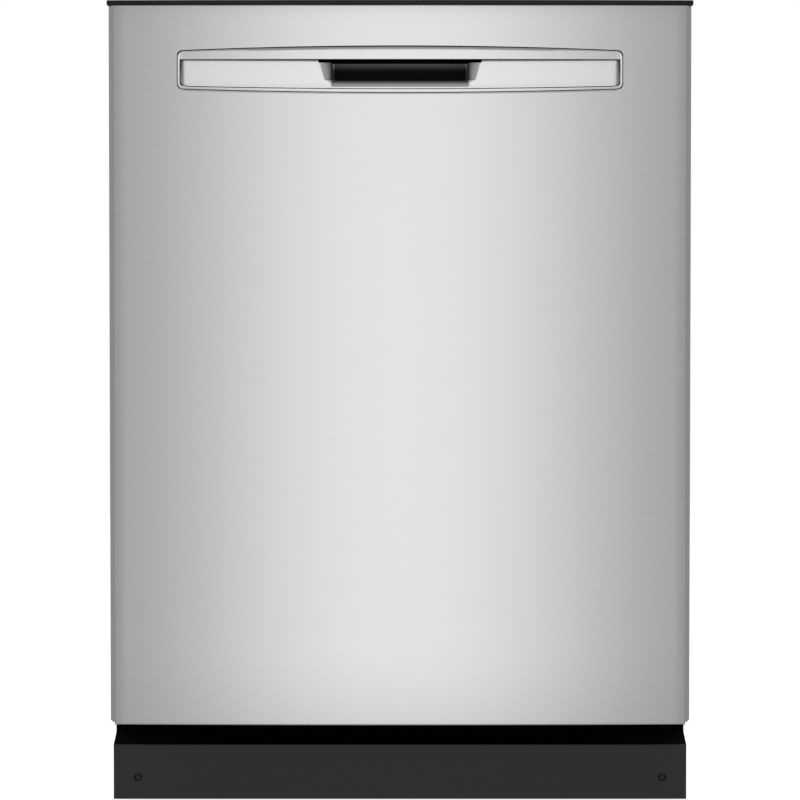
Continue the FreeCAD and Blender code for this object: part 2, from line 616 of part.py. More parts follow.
def lower_rack():
    """Lower rack with axle stubs, its wheels, tine rows and the cutlery basket."""
    pieces = rack("low_rack_half", "low_rack_front", "low_rack_back", "low_rack_floor",
                  "low_rack_high", 9, 10, 8)
    for side in (-1, 1):
        for y in ("wheel_front_y", "wheel_back_y"):
            plate = side_box(side, "low_rack_half - wire", "low_rack_half", "%s - 6" % y,
                             "%s + 6" % y, "wheel_z - 6", "low_rack_floor")
            stub = rod(4, 14, "low_rack_half - 1" if side > 0 else "-low_rack_half - 13", y,
                       "wheel_z", "x")
            pieces.append(fuse(plate, stub))
    keep("lower_rack", group(*pieces))
    for name, y in (("front_rack_wheels", "wheel_front_y"), ("rear_rack_wheels", "wheel_back_y")):
        wheels = []
        for side in (-1, 1):
            start = "wheel_x - wheel_wide / 2 - 2" if side > 0 else "-wheel_x - wheel_wide / 2 + 2"
            disc = rod("wheel_round", "wheel_wide", start, y, "wheel_z", "x")
            wheels.append(cut(disc, rod(4.08, 40, "%s - 10" % start, y, "wheel_z", "x")))
        keep(name, group(*wheels))
    keep("left_tine_row", tine_row(-120, -190, 230, 184, 262, 40))
    keep("centre_tine_row", tine_row(20, -190, 230, 184, 262, 40))
    keep("silverware_basket", group(*cutlery_plates()))


def cutlery_plates():
    """Floor, walls and handle of the cutlery basket: two rows of four cells."""
    plates = [box(125, 229, -150, 132, 178, 180)]
    plates += [box(x, x + 2, -150, 132, 180, 282) for x in (125, 176, 227)]
    plates += [box(x, x + 49, y, y + 2, 180, 282) for x in (127, 178) for y in range(-150, 131, 70)]
    plates += [box(175.5, 178.5, y, y + 6, 282, 316) for y in (-40, 16)]
    return plates + [box(175.5, 178.5, -40, 22, 316, 322)]


def upper_rack():
    """Upper rack with its rails and arm hub, and two fold-up cup shelves."""
    pieces = rack("up_rack_half", "up_rack_front", "up_rack_back", "up_rack_floor", "up_rack_high",
                  9, 10, 8)
    for side in (-1, 1):
        rail = side_box(side, 263.4, 268.2, "up_rack_front + 2", "slide_reach - 4", "slide_z - 12",
                        "slide_z + 12")
        arms = [side_box(side, "up_rack_half", 264, y - 12, y + 12, "slide_z - 6", "slide_z + 6")
                for y in (-180, 0, 180)]
        pieces.append(fuse(rail, *arms))
    pieces += [tine_row(x, -205, 225, "up_rack_floor + wire * 1.5", 545, 42) for x in (-90, 90)]
    pieces.append(rod("hub_round - 2", "up_rack_floor - 16 - mid_arm_z - 6", 0, "arm_y",
                      "mid_arm_z + 6"))
    pieces.append(box(-14, 14, "arm_y - 14", 257.4, "up_rack_floor - 16", "up_rack_floor"))
    keep("upper_rack", group(*pieces))
    for name, side in (("left_cup_shelf", -1), ("right_cup_shelf", 1)):
        bars = [side_box(side, 158, 241, y - 1.5, y + 1.5, 552, 555) for y in range(-180, 181, 40)]
        rims = [side_box(side, x, x + 3, -183, 183, 552, 555) for x in (156, 198)]
        pivot = rod(1.7, 366, "%d * 242" % side, -183, 553.5, "y")
        keep(name, fuse(pivot, *(bars + rims)))


def finish():
    """Recompute, check every object and write one file for each sub-part."""
    DOC.recompute()
    os.makedirs("parts", exist_ok=True)
    for item in DOC.Objects:
        if {"Invalid", "Error"} & set(item.State):
            raise RuntimeError("%s is %s" % (item.Label, item.State))
    names = [piece.Label for piece in NODES]
    if len(names) != len(set(names)):
        raise RuntimeError("a node name is used twice")
    for piece in NODES:
        shape = piece.Shape
        if shape.isNull() or not shape.isValid() or not shape.Solids:
            raise RuntimeError("%s has no valid solid" % piece.Label)
        shape.exportStep("parts/%s.step" % piece.Label)
    print("%d sub-parts written" % len(NODES))


for build in (door_outer_panel, handle_insert, control_console, buttons, door_inner_panel,
              door_fittings, hinge_arms, hinge_brackets, dispenser, tub, tub_front,
              sound_blanket, base_frame, toe_kick, levelling_legs, door_springs, sump_group,
              spray_arms, water_feed_tube, under_tub_units, mounting_brackets, rack_slides,
              lower_rack, upper_rack):
    build()
finish()
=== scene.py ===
import bmesh
import bpy
import math
from mathutils import Matrix, Vector


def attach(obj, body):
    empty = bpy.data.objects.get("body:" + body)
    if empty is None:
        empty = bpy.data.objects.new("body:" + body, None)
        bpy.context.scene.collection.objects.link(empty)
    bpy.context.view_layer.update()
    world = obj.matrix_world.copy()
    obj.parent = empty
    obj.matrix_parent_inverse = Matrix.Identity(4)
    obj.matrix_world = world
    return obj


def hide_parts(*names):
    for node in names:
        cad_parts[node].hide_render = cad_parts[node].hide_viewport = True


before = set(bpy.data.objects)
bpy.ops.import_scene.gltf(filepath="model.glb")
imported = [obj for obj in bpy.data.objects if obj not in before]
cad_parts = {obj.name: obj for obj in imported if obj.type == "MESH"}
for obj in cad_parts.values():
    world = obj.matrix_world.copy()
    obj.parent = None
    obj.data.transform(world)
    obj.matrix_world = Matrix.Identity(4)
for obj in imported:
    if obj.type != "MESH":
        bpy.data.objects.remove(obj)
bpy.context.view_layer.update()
print("frame loaded", len(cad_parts), "nodes")


def mm(value):
    return value / 1000.0


def hexColour(text):
    # sRGB hex to linear colour
    channels = [int(text[i:i + 2], 16) / 255.0 for i in (1, 3, 5)]
    return tuple(c / 12.92 if c <= 0.04045 else ((c + 0.055) / 1.055) ** 2.4 for c in channels) + (1.0,)


def addNode(tree, kind, settings=None, links=None):
    # settings: attribute or input name -> value, links: input -> (node, output)
    node = tree.nodes.new(kind)
    for key, value in (settings or {}).items():
        if isinstance(key, int) or key in node.inputs:
            node.inputs[key].default_value = value
        else:
            setattr(node, key, value)
    for key, (source, output) in (links or {}).items():
        tree.links.new(source.outputs[output], node.inputs[key])
    return node


def smoothStep(value):
    value = min(1.0, max(0.0, value))
    return value * value * (3.0 - 2.0 * value)


def spread(low, high, count):
    return [low + (high - low) * i / count for i in range(count + 1)]


def shadeByAngle(mesh, degrees):
    mesh.shade_smooth()
    mesh.set_sharp_from_angle(angle=math.radians(degrees))


def newObject(name, mesh):
    obj = bpy.data.objects.new(name, mesh)
    bpy.context.scene.collection.objects.link(obj)
    return obj


def bake(obj):
    # live modifiers become plain mesh
    graph = bpy.context.evaluated_depsgraph_get()
    mesh = bpy.data.meshes.new_from_object(obj.evaluated_get(graph))
    obj.modifiers.clear()
    old = obj.data
    obj.data = mesh
    bpy.data.meshes.remove(old)
    return obj


def settle(obj, body, materials, stands=(), angle=35):
    # last step of every piece: finish, smoothing, body and the nodes it stands for
    if materials is None:
        materials = list(obj.data.materials)
    materials = materials if isinstance(materials, (list, tuple)) else [materials]
    while len(obj.data.materials) < len(materials):
        obj.data.materials.append(None)
    for index, material in enumerate(materials):
        obj.data.materials[index] = material
    shadeByAngle(obj.data, angle)
    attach(obj, body)
    if stands:
        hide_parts(*stands)
    return obj


def meshFrom(name, points, faces, slots=None):
    mesh = bpy.data.meshes.new(name)
    mesh.from_pydata([tuple(mm(c) for c in p) for p in points], [], faces)
    if slots:
        mesh.polygons.foreach_set("material_index", slots)
    mesh.update()
    return mesh


def gridFaces(rows, count, closed=False, flip=False):
    # quads between neighbouring rows of points, each row with count points
    faces = []
    for row in range(rows - 1):
        for i in range(count if closed else count - 1):
            a, b = row * count + i, row * count + (i + 1) % count
            faces.append((a, a + count, b + count, b) if flip else (a, b, b + count, a + count))
    return faces


def recalcNormals(mesh):
    work = bmesh.new()
    work.from_mesh(mesh)
    bmesh.ops.remove_doubles(work, verts=work.verts, dist=1e-6)
    bmesh.ops.recalc_face_normals(work, faces=work.faces)
    work.to_mesh(mesh)
    work.free()


def bevelled(obj, width, segments=2, angle=40):
    change = obj.modifiers.new("bevel", "BEVEL")
    change.width = mm(width)
    change.segments = segments
    change.limit_method = "ANGLE"
    change.angle_limit = math.radians(angle)
    change.harden_normals = False
    return obj


def thickened(obj, thickness, offset=-1.0):
    change = obj.modifiers.new("thickness", "SOLIDIFY")
    change.thickness = mm(thickness)
    change.offset = offset
    return obj


def roundedBlock(name, low, high, radius, segments=3):
    # block with all edges rounded, sizes in mm
    work = bmesh.new()
    bmesh.ops.create_cube(work, size=1.0)
    for vertex in work.verts:
        for axis in range(3):
            vertex.co[axis] = mm(low[axis] if vertex.co[axis] < 0 else high[axis])
    if radius:
        bmesh.ops.bevel(work, geom=list(work.edges), offset=mm(radius), segments=segments,
                        profile=0.5, affect="EDGES")
    mesh = bpy.data.meshes.new(name)
    work.to_mesh(mesh)
    work.free()
    return newObject(name, mesh)


def softCopy(node, name, width, segments=2, angle=35):
    # copy of a frame node with its edges rounded off
    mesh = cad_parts[node].data.copy()
    mesh.materials.clear()
    work = bmesh.new()
    work.from_mesh(mesh)
    bmesh.ops.remove_doubles(work, verts=work.verts, dist=2e-6)
    bmesh.ops.dissolve_limit(work, angle_limit=math.radians(0.6), verts=work.verts, edges=work.edges)
    work.to_mesh(mesh)
    work.free()
    obj = newObject(name, mesh)
    if width:
        bake(bevelled(obj, width, segments, angle))
    return obj


def softPiece(node, name, body, finish, width, segments=2, angle=35):
    # a plain part that only needs its edges rounded
    settle(softCopy(node, name, width, segments), body, finish, (node,), angle)


# repeated and swept shapes grow from four small trees


def growTree(name, inputs):
    tree = bpy.data.node_groups.new(name, "GeometryNodeTree")
    tree.interface.new_socket("Geometry", in_out="INPUT", socket_type="NodeSocketGeometry")
    for label, kind in inputs.items():
        tree.interface.new_socket(label, in_out="INPUT", socket_type="NodeSocket" + kind)
    tree.interface.new_socket("Geometry", in_out="OUTPUT", socket_type="NodeSocketGeometry")
    return tree, tree.nodes.new("NodeGroupInput")


def closeTree(tree, start, source, output):
    # every tree ends with real geometry that carries its finish
    real = addNode(tree, "GeometryNodeRealizeInstances", None, {"Geometry": (source, output)})
    coat = addNode(tree, "GeometryNodeSetMaterial", None,
                   {"Geometry": (real, "Geometry"), "Material": (start, "Finish")})
    end = tree.nodes.new("NodeGroupOutput")
    tree.links.new(coat.outputs["Geometry"], end.inputs["Geometry"])


def grown(name, mesh, tree, values):
    # run a tree once on a mesh and keep the plain result
    obj = newObject(name, mesh)
    change = obj.modifiers.new(tree.name, "NODES")
    change.node_group = tree
    for item in tree.interface.items_tree:
        if item.in_out == "INPUT" and item.name in values:
            change[item.identifier] = values[item.name]
    return bake(obj)


# edges of a mesh become round wire with bent corners
wireTree, start = growTree("wireTree", {"Wire Radius": "Float", "Bend Radius": "Float", "Sides": "Int",
                                        "Finish": "Material"})
paths = addNode(wireTree, "GeometryNodeMeshToCurve", None, {"Mesh": (start, "Geometry")})
bent = addNode(wireTree, "GeometryNodeFilletCurve", {"mode": "POLY", "Count": 4, "Limit Radius": True},
               {"Curve": (paths, "Curve"), "Radius": (start, "Bend Radius")})
section = addNode(wireTree, "GeometryNodeCurvePrimitiveCircle", None,
                  {"Radius": (start, "Wire Radius"), "Resolution": (start, "Sides")})
swept = addNode(wireTree, "GeometryNodeCurveToMesh", {"Fill Caps": True},
                {"Curve": (bent, "Curve"), "Profile Curve": (section, "Curve")})
closeTree(wireTree, start, swept, "Mesh")

# one small piece is set on every point, turned by the point's own angles
rowTree, start = growTree("rowTree", {"Piece": "Object", "Finish": "Material"})
piece = addNode(rowTree, "GeometryNodeObjectInfo", None, {"Object": (start, "Piece")})
turn = addNode(rowTree, "GeometryNodeInputNamedAttribute", {"data_type": "FLOAT_VECTOR", "Name": "turn"})
copies = addNode(rowTree, "GeometryNodeInstanceOnPoints", None,
                 {"Points": (start, "Geometry"), "Instance": (piece, "Geometry"),
                  "Rotation": (turn, "Attribute")})
closeTree(rowTree, start, copies, "Instances")

# helix of round wire: spring coils and screw threads
coilTree, start = growTree("coilTree", {"Turns": "Float", "Coil Radius": "Float", "Length": "Float",
                                        "Wire Radius": "Float", "Finish": "Material"})
helix = addNode(coilTree, "GeometryNodeCurveSpiral", {"Resolution": 18},
                {"Rotations": (start, "Turns"), "Start Radius": (start, "Coil Radius"),
                 "End Radius": (start, "Coil Radius"), "Height": (start, "Length")})
section = addNode(coilTree, "GeometryNodeCurvePrimitiveCircle", {"Resolution": 6},
                  {"Radius": (start, "Wire Radius")})
swept = addNode(coilTree, "GeometryNodeCurveToMesh", {"Fill Caps": True},
                {"Curve": (helix, "Curve"), "Profile Curve": (section, "Curve")})
closeTree(coilTree, start, swept, "Mesh")

# every face of a sheet gets a hole, then the sheet gets its thickness
sieveTree, start = growTree("sieveTree", {"Open Share": "Float", "Thickness": "Float", "Finish": "Material"})
inset = addNode(sieveTree, "GeometryNodeExtrudeMesh", {"Individual": True, "Offset Scale": 0.0},
                {"Mesh": (start, "Geometry")})
shrunk = addNode(sieveTree, "GeometryNodeScaleElements", None,
                 {"Geometry": (inset, "Mesh"), "Selection": (inset, "Top"), "Scale": (start, "Open Share")})
holed = addNode(sieveTree, "GeometryNodeDeleteGeometry", {"domain": "FACE"},
                {"Geometry": (shrunk, "Geometry"), "Selection": (inset, "Top")})
sealed = addNode(sieveTree, "GeometryNodeMergeByDistance", {"Distance": 0.00001},
                 {"Geometry": (holed, "Geometry")})
raised = addNode(sieveTree, "GeometryNodeExtrudeMesh", {"Individual": False},
                 {"Mesh": (sealed, "Geometry"), "Offset Scale": (start, "Thickness")})
under = addNode(sieveTree, "GeometryNodeFlipFaces", None, {"Mesh": (sealed, "Geometry")})
both = addNode(sieveTree, "GeometryNodeJoinGeometry")
sieveTree.links.new(raised.outputs["Mesh"], both.inputs[0])
sieveTree.links.new(under.outputs["Mesh"], both.inputs[0])
welded = addNode(sieveTree, "GeometryNodeMergeByDistance", {"Distance": 0.00001},
                 {"Geometry": (both, "Geometry")})
closeTree(sieveTree, start, welded, "Geometry")


def wires(name, lines, radius, bend, finish, sides=8):
    # lines: lists of points in mm; a closed line repeats its first point as None
    points, edges = [], []
    for line in lines:
        first = len(points)
        closed = line[-1] is None
        path = line[:-1] if closed else line
        points += [tuple(mm(c) for c in p) for p in path]
        edges += [(first + i, first + i + 1) for i in range(len(path) - 1)]
        if closed:
            edges.append((first + len(path) - 1, first))
    mesh = bpy.data.meshes.new(name)
    mesh.from_pydata(points, edges, [])
    return grown(name, mesh, wireTree, {"Wire Radius": mm(radius), "Bend Radius": mm(bend),
                                        "Sides": sides, "Finish": finish})


def scrap(piece):
    old = piece.data
    bpy.data.objects.remove(piece)
    bpy.data.meshes.remove(old)


def rowOf(name, piece, places, finish, turns=None):
    # a small piece copied to places in mm, turned by degrees; the first one is then thrown away
    mesh = meshFrom(name, places, [])
    layer = mesh.attributes.new("turn", "FLOAT_VECTOR", "POINT")
    for index, item in enumerate(layer.data):
        item.vector = [math.radians(a) for a in (turns[index] if turns else (0, 0, 0))]
    row = grown(name, mesh, rowTree, {"Piece": piece, "Finish": finish})
    scrap(piece)
    return row


def collar(inner, outer, low, high):
    # square section of a ring, for turned
    return [(inner, low), (outer, low), (outer, high), (inner, high), (inner, low)]


def coil(name, radius, length, turns, wire, finish, axis, at):
    sizes = {"Turns": float(turns), "Coil Radius": mm(radius), "Length": mm(length),
             "Wire Radius": mm(wire), "Finish": finish}
    return moved(grown(name, bpy.data.meshes.new(name), coilTree, sizes), at, axis)


def sieve(name, points, faces, share, thickness, finish):
    return grown(name, meshFrom(name, points, faces), sieveTree,
                 {"Open Share": share, "Thickness": mm(thickness), "Finish": finish})


def moved(obj, at, axis="z"):
    # lay a piece along an axis and move it, as a mesh change
    turnTo = {"z": Matrix.Identity(4), "x": Matrix.Rotation(math.radians(90), 4, "Y"),
              "y": Matrix.Rotation(math.radians(-90), 4, "X")}[axis]
    obj.data.transform(Matrix.Translation([mm(c) for c in at]) @ turnTo)
    return obj


def painted(obj, material):
    obj.data.materials.clear()
    obj.data.materials.append(material)
    return obj


def joined(name, pieces):
    # several objects become one mesh; each keeps its finish
    work, materials = bmesh.new(), []
    for item in pieces:
        first = len(work.faces)
        own = list(item.data.materials)
        work.from_mesh(item.data)
        work.faces.ensure_lookup_table()
        materials += [m for m in own if m not in materials]
        for face in work.faces[first:]:
            face.material_index = materials.index(own[min(face.material_index, len(own) - 1)])
        scrap(item)
    mesh = bpy.data.meshes.new(name)
    work.to_mesh(mesh)
    work.free()
    for material in materials:
        mesh.materials.append(material)
    return newObject(name, mesh)


def assemble(name, parts, body, node, angle=35):
    # several parts become the one piece that stands for a node
    return settle(joined(name, parts), body, None, (node,), angle)


def turned(name, profile, count=28, axis="z", at=(0, 0, 0)):
    # lathe piece from (radius, height) pairs that run outward-facing, sizes in mm
    points, faces, rings = [], [], []
    for radius, high in profile:
        if radius < 1e-6:
            rings.append([len(points)])
            points.append((0, 0, high))
            continue
        rings.append([len(points) + i for i in range(count)])
        points += [(radius * math.cos(bend), radius * math.sin(bend), high)
                   for bend in (2 * math.pi * i / count for i in range(count))]
    for a, b in zip(rings, rings[1:]):
        for i in range(count):
            j = (i + 1) % count
            faces.append(tuple(dict.fromkeys((a[i % len(a)], a[j % len(a)], b[j % len(b)], b[i % len(b)]))))
    obj = newObject(name, meshFrom(name, points, faces))
    recalcNormals(obj.data)
    return moved(obj, at, axis)


def carved(obj, cutters):
    # closed cutters are taken out of a piece
    for cutter in cutters:
        change = obj.modifiers.new("cut", "BOOLEAN")
        change.operation = "DIFFERENCE"
        change.object = cutter
        change.solver = "EXACT"
    bake(obj)
    for cutter in cutters:
        scrap(cutter)
    return obj


def crossHead(name, radius, high):
    # screw head along -Y with a crossed recess
    head = turned(name, [(0, 0), (radius, 0), (radius, high * 0.35), (radius * 0.8, high * 0.8),
                         (radius * 0.45, high), (0, high)], 16)
    slots = [roundedBlock("slot", (-a, -b, high * 0.35), (a, b, high + 2), 0)
             for a, b in ((radius * 0.55, radius * 0.12), (radius * 0.12, radius * 0.55))]
    carved(head, slots)
    head.data.transform(Matrix.Rotation(math.radians(90), 4, "X"))
    return head


def newMaterial(name, settings):
    material = bpy.data.materials.new(name)
    material.use_nodes = True
    tree = material.node_tree
    shader = [n for n in tree.nodes if n.type == "BSDF_PRINCIPLED"][0]
    for key, value in settings.items():
        shader.inputs[key].default_value = value
    place = addNode(tree, "ShaderNodeTexCoord")
    return material, tree, shader, place


def grainBump(tree, shader, place, stretch, strength, distance, detail=2.0):
    # fine relief: stretch is cycles per metre along x, y, z
    mapping = addNode(tree, "ShaderNodeMapping", {"Scale": stretch}, {"Vector": (place, "Object")})
    noise = addNode(tree, "ShaderNodeTexNoise", {"Scale": 1.0, "Detail": detail},
                    {"Vector": (mapping, "Vector")})
    bump = addNode(tree, "ShaderNodeBump", {"Strength": strength, "Distance": distance},
                   {"Height": (noise, "Fac")})
    tree.links.new(bump.outputs["Normal"], shader.inputs["Normal"])
    return noise


def varied(tree, shader, socket, source, low, high):
    # a colour or roughness that wanders a little with a pattern
    if socket == "Base Color":
        ramp = addNode(tree, "ShaderNodeMix", {"data_type": "RGBA"}, {0: (source, "Fac")})
        ramp.inputs[6].default_value = low
        ramp.inputs[7].default_value = high
        tree.links.new(ramp.outputs[2], shader.inputs[socket])
        return
    ramp = addNode(tree, "ShaderNodeMapRange", {"To Min": low, "To Max": high}, {"Value": (source, "Fac")})
    tree.links.new(ramp.outputs["Result"], shader.inputs[socket])


def metal(name, low, high, roughness, stretch, strength=0.05, anisotropic=0.0, distance=0.0002):
    material, tree, shader, place = newMaterial(name, {"Metallic": 1.0, "Anisotropic": anisotropic})
    noise = grainBump(tree, shader, place, stretch, strength, distance)
    varied(tree, shader, "Base Color", noise, hexColour(low), hexColour(high))
    varied(tree, shader, "Roughness", noise, roughness * 0.92, roughness * 1.08)
    return material, tree, shader


def moulded(name, low, high, roughness, grain=900.0, strength=0.06, coat=0.0, metallic=0.0, specular=0.5):
    material, tree, shader, place = newMaterial(name, {
        "Metallic": metallic, "Specular IOR Level": specular, "Coat Weight": coat, "Coat Roughness": 0.12})
    noise = grainBump(tree, shader, place, (grain, grain, grain), strength, 0.0002)
    varied(tree, shader, "Base Color", noise, hexColour(low), hexColour(high))
    varied(tree, shader, "Roughness", noise, roughness * 0.9, roughness * 1.1)
    return material


# pattern scales below are cycles per metre: 900 is a grain of about 1.1 mm
# rolled stainless brushed across the width: light spreads up and down, not sideways;
# real brush lines are under 0.1 mm apart, drawn 1.1 mm apart so that they show
brushedStainless, tree, shader = metal("brushedStainless", "#d3d3d2", "#dadad9", 0.34,
                                       (9.0, 60.0, 900.0), 0.03, 0.75)
tangent = addNode(tree, "ShaderNodeTangent", {"direction_type": "UV_MAP", "uv_map": "grain"})
tree.links.new(tangent.outputs["Tangent"], shader.inputs["Tangent"])
# plain rolled stainless sheet of the tub: satin, faint rolling lines drawn 1.7 mm apart
satinStainless = metal("satinStainless", "#b8b8b6", "#c4c4c2", 0.32, (40.0, 40.0, 600.0), 0.04)[0]
# perforated stainless filter sheet: duller, its 3 mm cloudiness from scale and wear
filterStainless = metal("filterStainless", "#8f9090", "#a5a6a6", 0.4, (300.0, 300.0, 300.0), 0.2)[0]
# nickel alloy tube of the heater, dull with a warm tint from heat
heaterAlloy = metal("heaterAlloy", "#5b5550", "#6d665f", 0.45, (200.0, 200.0, 200.0), 0.2)[0]
# zinc coated pressed steel: soft cloudy grey
zincSteel = metal("zincSteel", "#8d9294", "#a4a9ab", 0.42, (60.0, 60.0, 60.0), 0.08)[0]
# oiled spring wire, near black
springWire = metal("springWire", "#2c2b2a", "#3a3937", 0.4, (300.0, 300.0, 300.0), 0.1)[0]
# ABS with a sprayed metallic silver coat: bright, soft gloss; flake drawn at 1.4 mm
silverAbs = moulded("silverAbs", "#cccccb", "#d0d0cf", 0.24, 700.0, 0.01, 0.35, 0.85)
# black ABS of the finger pocket, satin; kept near black with little shine as painted shade of the deep pocket
pocketAbs = moulded("pocketAbs", "#0a0a0a", "#0e0e0e", 0.6, 700.0, 0.03, specular=0.15)
# the same moulding where it rolls into the pocket, painted black towards the pocket as shade
rolledAbs = moulded("rolledAbs", "#d6d6d5", "#dadad9", 0.26, 700.0, 0.01, metallic=0.5, specular=0.3)
for material, pale, dark in ((rolledAbs, None, "#0b0b0b"), (pocketAbs, "#8a8a8a", None)):
    # painted shade per point: on the rolled coat 0 keeps the silver and 1 paints it black; on the pocket 1
    # keeps its black and lower values paint a pale reflection
    tree = material.node_tree
    shader = [n for n in tree.nodes if n.type == "BSDF_PRINCIPLED"][0]
    coat = shader.inputs["Base Color"].links[0].from_node
    share = addNode(tree, "ShaderNodeAttribute", {"attribute_name": "paintedShade"})
    fade = addNode(tree, "ShaderNodeMix", {"data_type": "RGBA"}, {0: (share, "Fac")})
    for socket, colour in ((6, pale), (7, dark)):
        if colour:
            fade.inputs[socket].default_value = hexColour(colour)
        else:
            tree.links.new(coat.outputs[2], fade.inputs[socket])
    tree.links.new(fade.outputs[2], shader.inputs["Base Color"])
    if dark:
        shadedMetallic = addNode(tree, "ShaderNodeMapRange", {"To Min": 0.85, "To Max": 0.0}, {"Value": (share, "Fac")})
        tree.links.new(shadedMetallic.outputs["Result"], shader.inputs["Metallic"])
# black ABS of the top strip, soft gloss
consoleAbs = moulded("consoleAbs", "#0b0b0c", "#101011", 0.42, 500.0, 0.02, specular=0.3)
buttonAbs = moulded("buttonAbs", "#26272a", "#2b2c2f", 0.35, 500.0, 0.02)
# powder coated toe kick: satin black with a faint orange peel
kickPowder = moulded("kickPowder", "#17171a", "#1e1e20", 0.46, 420.0, 0.12, specular=0.4)
# near-black painted shade for the toe kick shelf under the door and the hollow over the finger grip: takes in
# nearly all light
paintedShadeBlack = moulded("paintedShadeBlack", "#040404", "#070707", 0.95, 350.0, 0.4, specular=0.05)
# black oxide screw steel
blackOxide = metal("blackOxide", "#141414", "#1c1c1c", 0.38, (400.0, 400.0, 400.0), 0.08)[0]
# black zinc screw heads on the toe kick, a little shinier than the sheet
screwSteel = metal("screwSteel", "#2b2b2b", "#3b3b3b", 0.3, (400.0, 400.0, 400.0), 0.08)[0]
# glass fibre filled polypropylene parts, matt
greyPolypropylene = moulded("greyPolypropylene", "#6f7274", "#797c7e", 0.5, 800.0, 0.1)
darkPolypropylene = moulded("darkPolypropylene", "#232426", "#2b2c2e", 0.48, 800.0, 0.1)
whitePolypropylene = moulded("whitePolypropylene", "#d5d4cf", "#dddcd8", 0.45, 800.0, 0.08)
bluePolypropylene = moulded("bluePolypropylene", "#2a4a78", "#33548a", 0.4, 800.0, 0.05)
# PVC dipped rack wire: smooth, slightly soft sheen
dippedVinyl = moulded("dippedVinyl", "#777b80", "#83878c", 0.38, 300.0, 0.06, 0.1)
# EPDM seal: matt black; also the black wires painted as shade in the handle gaps
sealRubberAndPaintedShade = moulded("sealRubberAndPaintedShade", "#121212", "#1a1a1a", 0.6, 700.0, 0.1)
# bitumen mat under felt: dark, fibrous, no shine
feltMat = moulded("feltMat", "#1d1d1e", "#313133", 0.95, 260.0, 0.6)
print("materials made", len(bpy.data.materials))

door = {
    # bowed steel skin, mm from the middle of the front on the floor
    "half": 302.5, "front": -317.5, "bow": 7.0, "low": 86.0, "top": 834.8, "back": -283.0,
    "corner": 6.0, "sheet": 1.0, "hem": 1.6, "hemDeep": 14.0, "topRound": 1.2, "topDeep": 5.0,
    "notch": 3.6, "notchWide": 4.4,  # the hem stops short at both lower corners
}
handle = {
    # opening in the skin and the gap round the silver frame
    "half": 231.3, "lowEnd": 747.6, "lowMid": 743.9, "topEnd": 787.9, "topMid": 792.8, "round": 5.6,
    "gap": 0.9, "frameSheet": 2.2, "frameBack": 0.25, "rimHigh": 0.2,
    # crease under the arched top of the frame
    "creaseLow": 0.5, "creaseArch": 3.1, "creaseTilt": 0.3, "faceTilt": 0.02,
    # opening of the frame
    "recessHalf": 228.2, "recessTop": 778.7, "recessLowEnd": 750.8, "recessLowMid": 747.9,
    "recessRound": 2.2,
    # wings beside the finger grip: depth, swell, flatness, roll at each rim
    "wingDeep": 5.4, "wingSwell": 1.2, "flatness": 0.65, "lowRoll": 0.5, "topRoll": 0.6, "endRoll": 1.6,
    # finger grip: width at its top and foot, height of its foot and of the slot over it
    "gripTopHalf": 84.7, "gripLowHalf": 78.0, "gripLow": 757.5, "slotLow": 775.4,
    # lip that rolls in, then the square pocket; where painted shade turns the silver coat black; painted pale
    # reflection on top
    "lipRoll": 8.0, "lipShare": 0.2, "pocketHalf": 70.5, "pocketDeep": 36.4, "scoopSheet": 1.2,
    "fadeAcross": 1.5, "fadeUp": 1.0, "paintedBlackFrom": 0.75, "glowLow": 767.0, "glow": 0.75,
    # hollow over the pocket: front, back, foot, head
    "cavity": (-300.5, -279.5, 770, 786),
    # black wire painted as shade in the gap, rolled steel lip and painted shadow line: wire radius
    "gapShadeWire": 0.62, "lipWire": 0.7, "shadowWire": 0.45,
}


def mirrored(right):
    # x places of the right half, the first one in the middle, for both halves
    return [-x for x in reversed(right[1:])] + right


def bowY(x):
    return door["front"] + door["bow"] * (x / door["half"]) ** 2


def archEdge(x, half, ends, middle, radius, side):
    # height of an arched edge with rounded corners; side +1 is a top edge, -1 a bottom edge
    height = middle + (ends - middle) * (x / half) ** 2
    over = abs(x) - (half - radius)
    if over > 0:
        over = min(over, radius)
        height -= side * (radius - math.sqrt(max(0.0, radius * radius - over * over)))
    return height


def columnsFor(half, radius, inner):
    # x places: coarse in the middle, fine round each corner
    right = spread(0, inner - 8, 24) + spread(inner - 8, inner, 8)[1:] + [inner + 0.02]
    fine = [half - radius + radius * math.sin(math.radians(a)) for a in (0, 15, 30, 45, 60, 75, 90)]
    right += [x for x in fine if x > inner + 0.1]
    return right


def framedSheet(columns, edges, innerHalf, rows, depth):
    # flat frame sheet round an opening, built column by column;
    # edges(x) gives outer low, inner low, inner top, outer top
    points, faces, index = [], [], {}
    lowRows, midRows, topRows = rows
    total = lowRows + midRows + topRows
    for c, x in enumerate(columns):
        outerLow, innerLow, innerTop, outerTop = edges(x)
        heights = (spread(outerLow, innerLow, lowRows) + spread(innerLow, innerTop, midRows)[1:]
                   + spread(innerTop, outerTop, topRows)[1:])
        for r, z in enumerate(heights):
            index[c, r] = len(points)
            points.append((x, depth(x, z), z))
    for c in range(len(columns) - 1):
        middle = (columns[c] + columns[c + 1]) / 2
        for r in range(total):
            if lowRows <= r < lowRows + midRows and abs(middle) < innerHalf:
                continue
            faces.append((index[c, r], index[c + 1, r], index[c + 1, r + 1], index[c, r + 1]))
    return points, faces


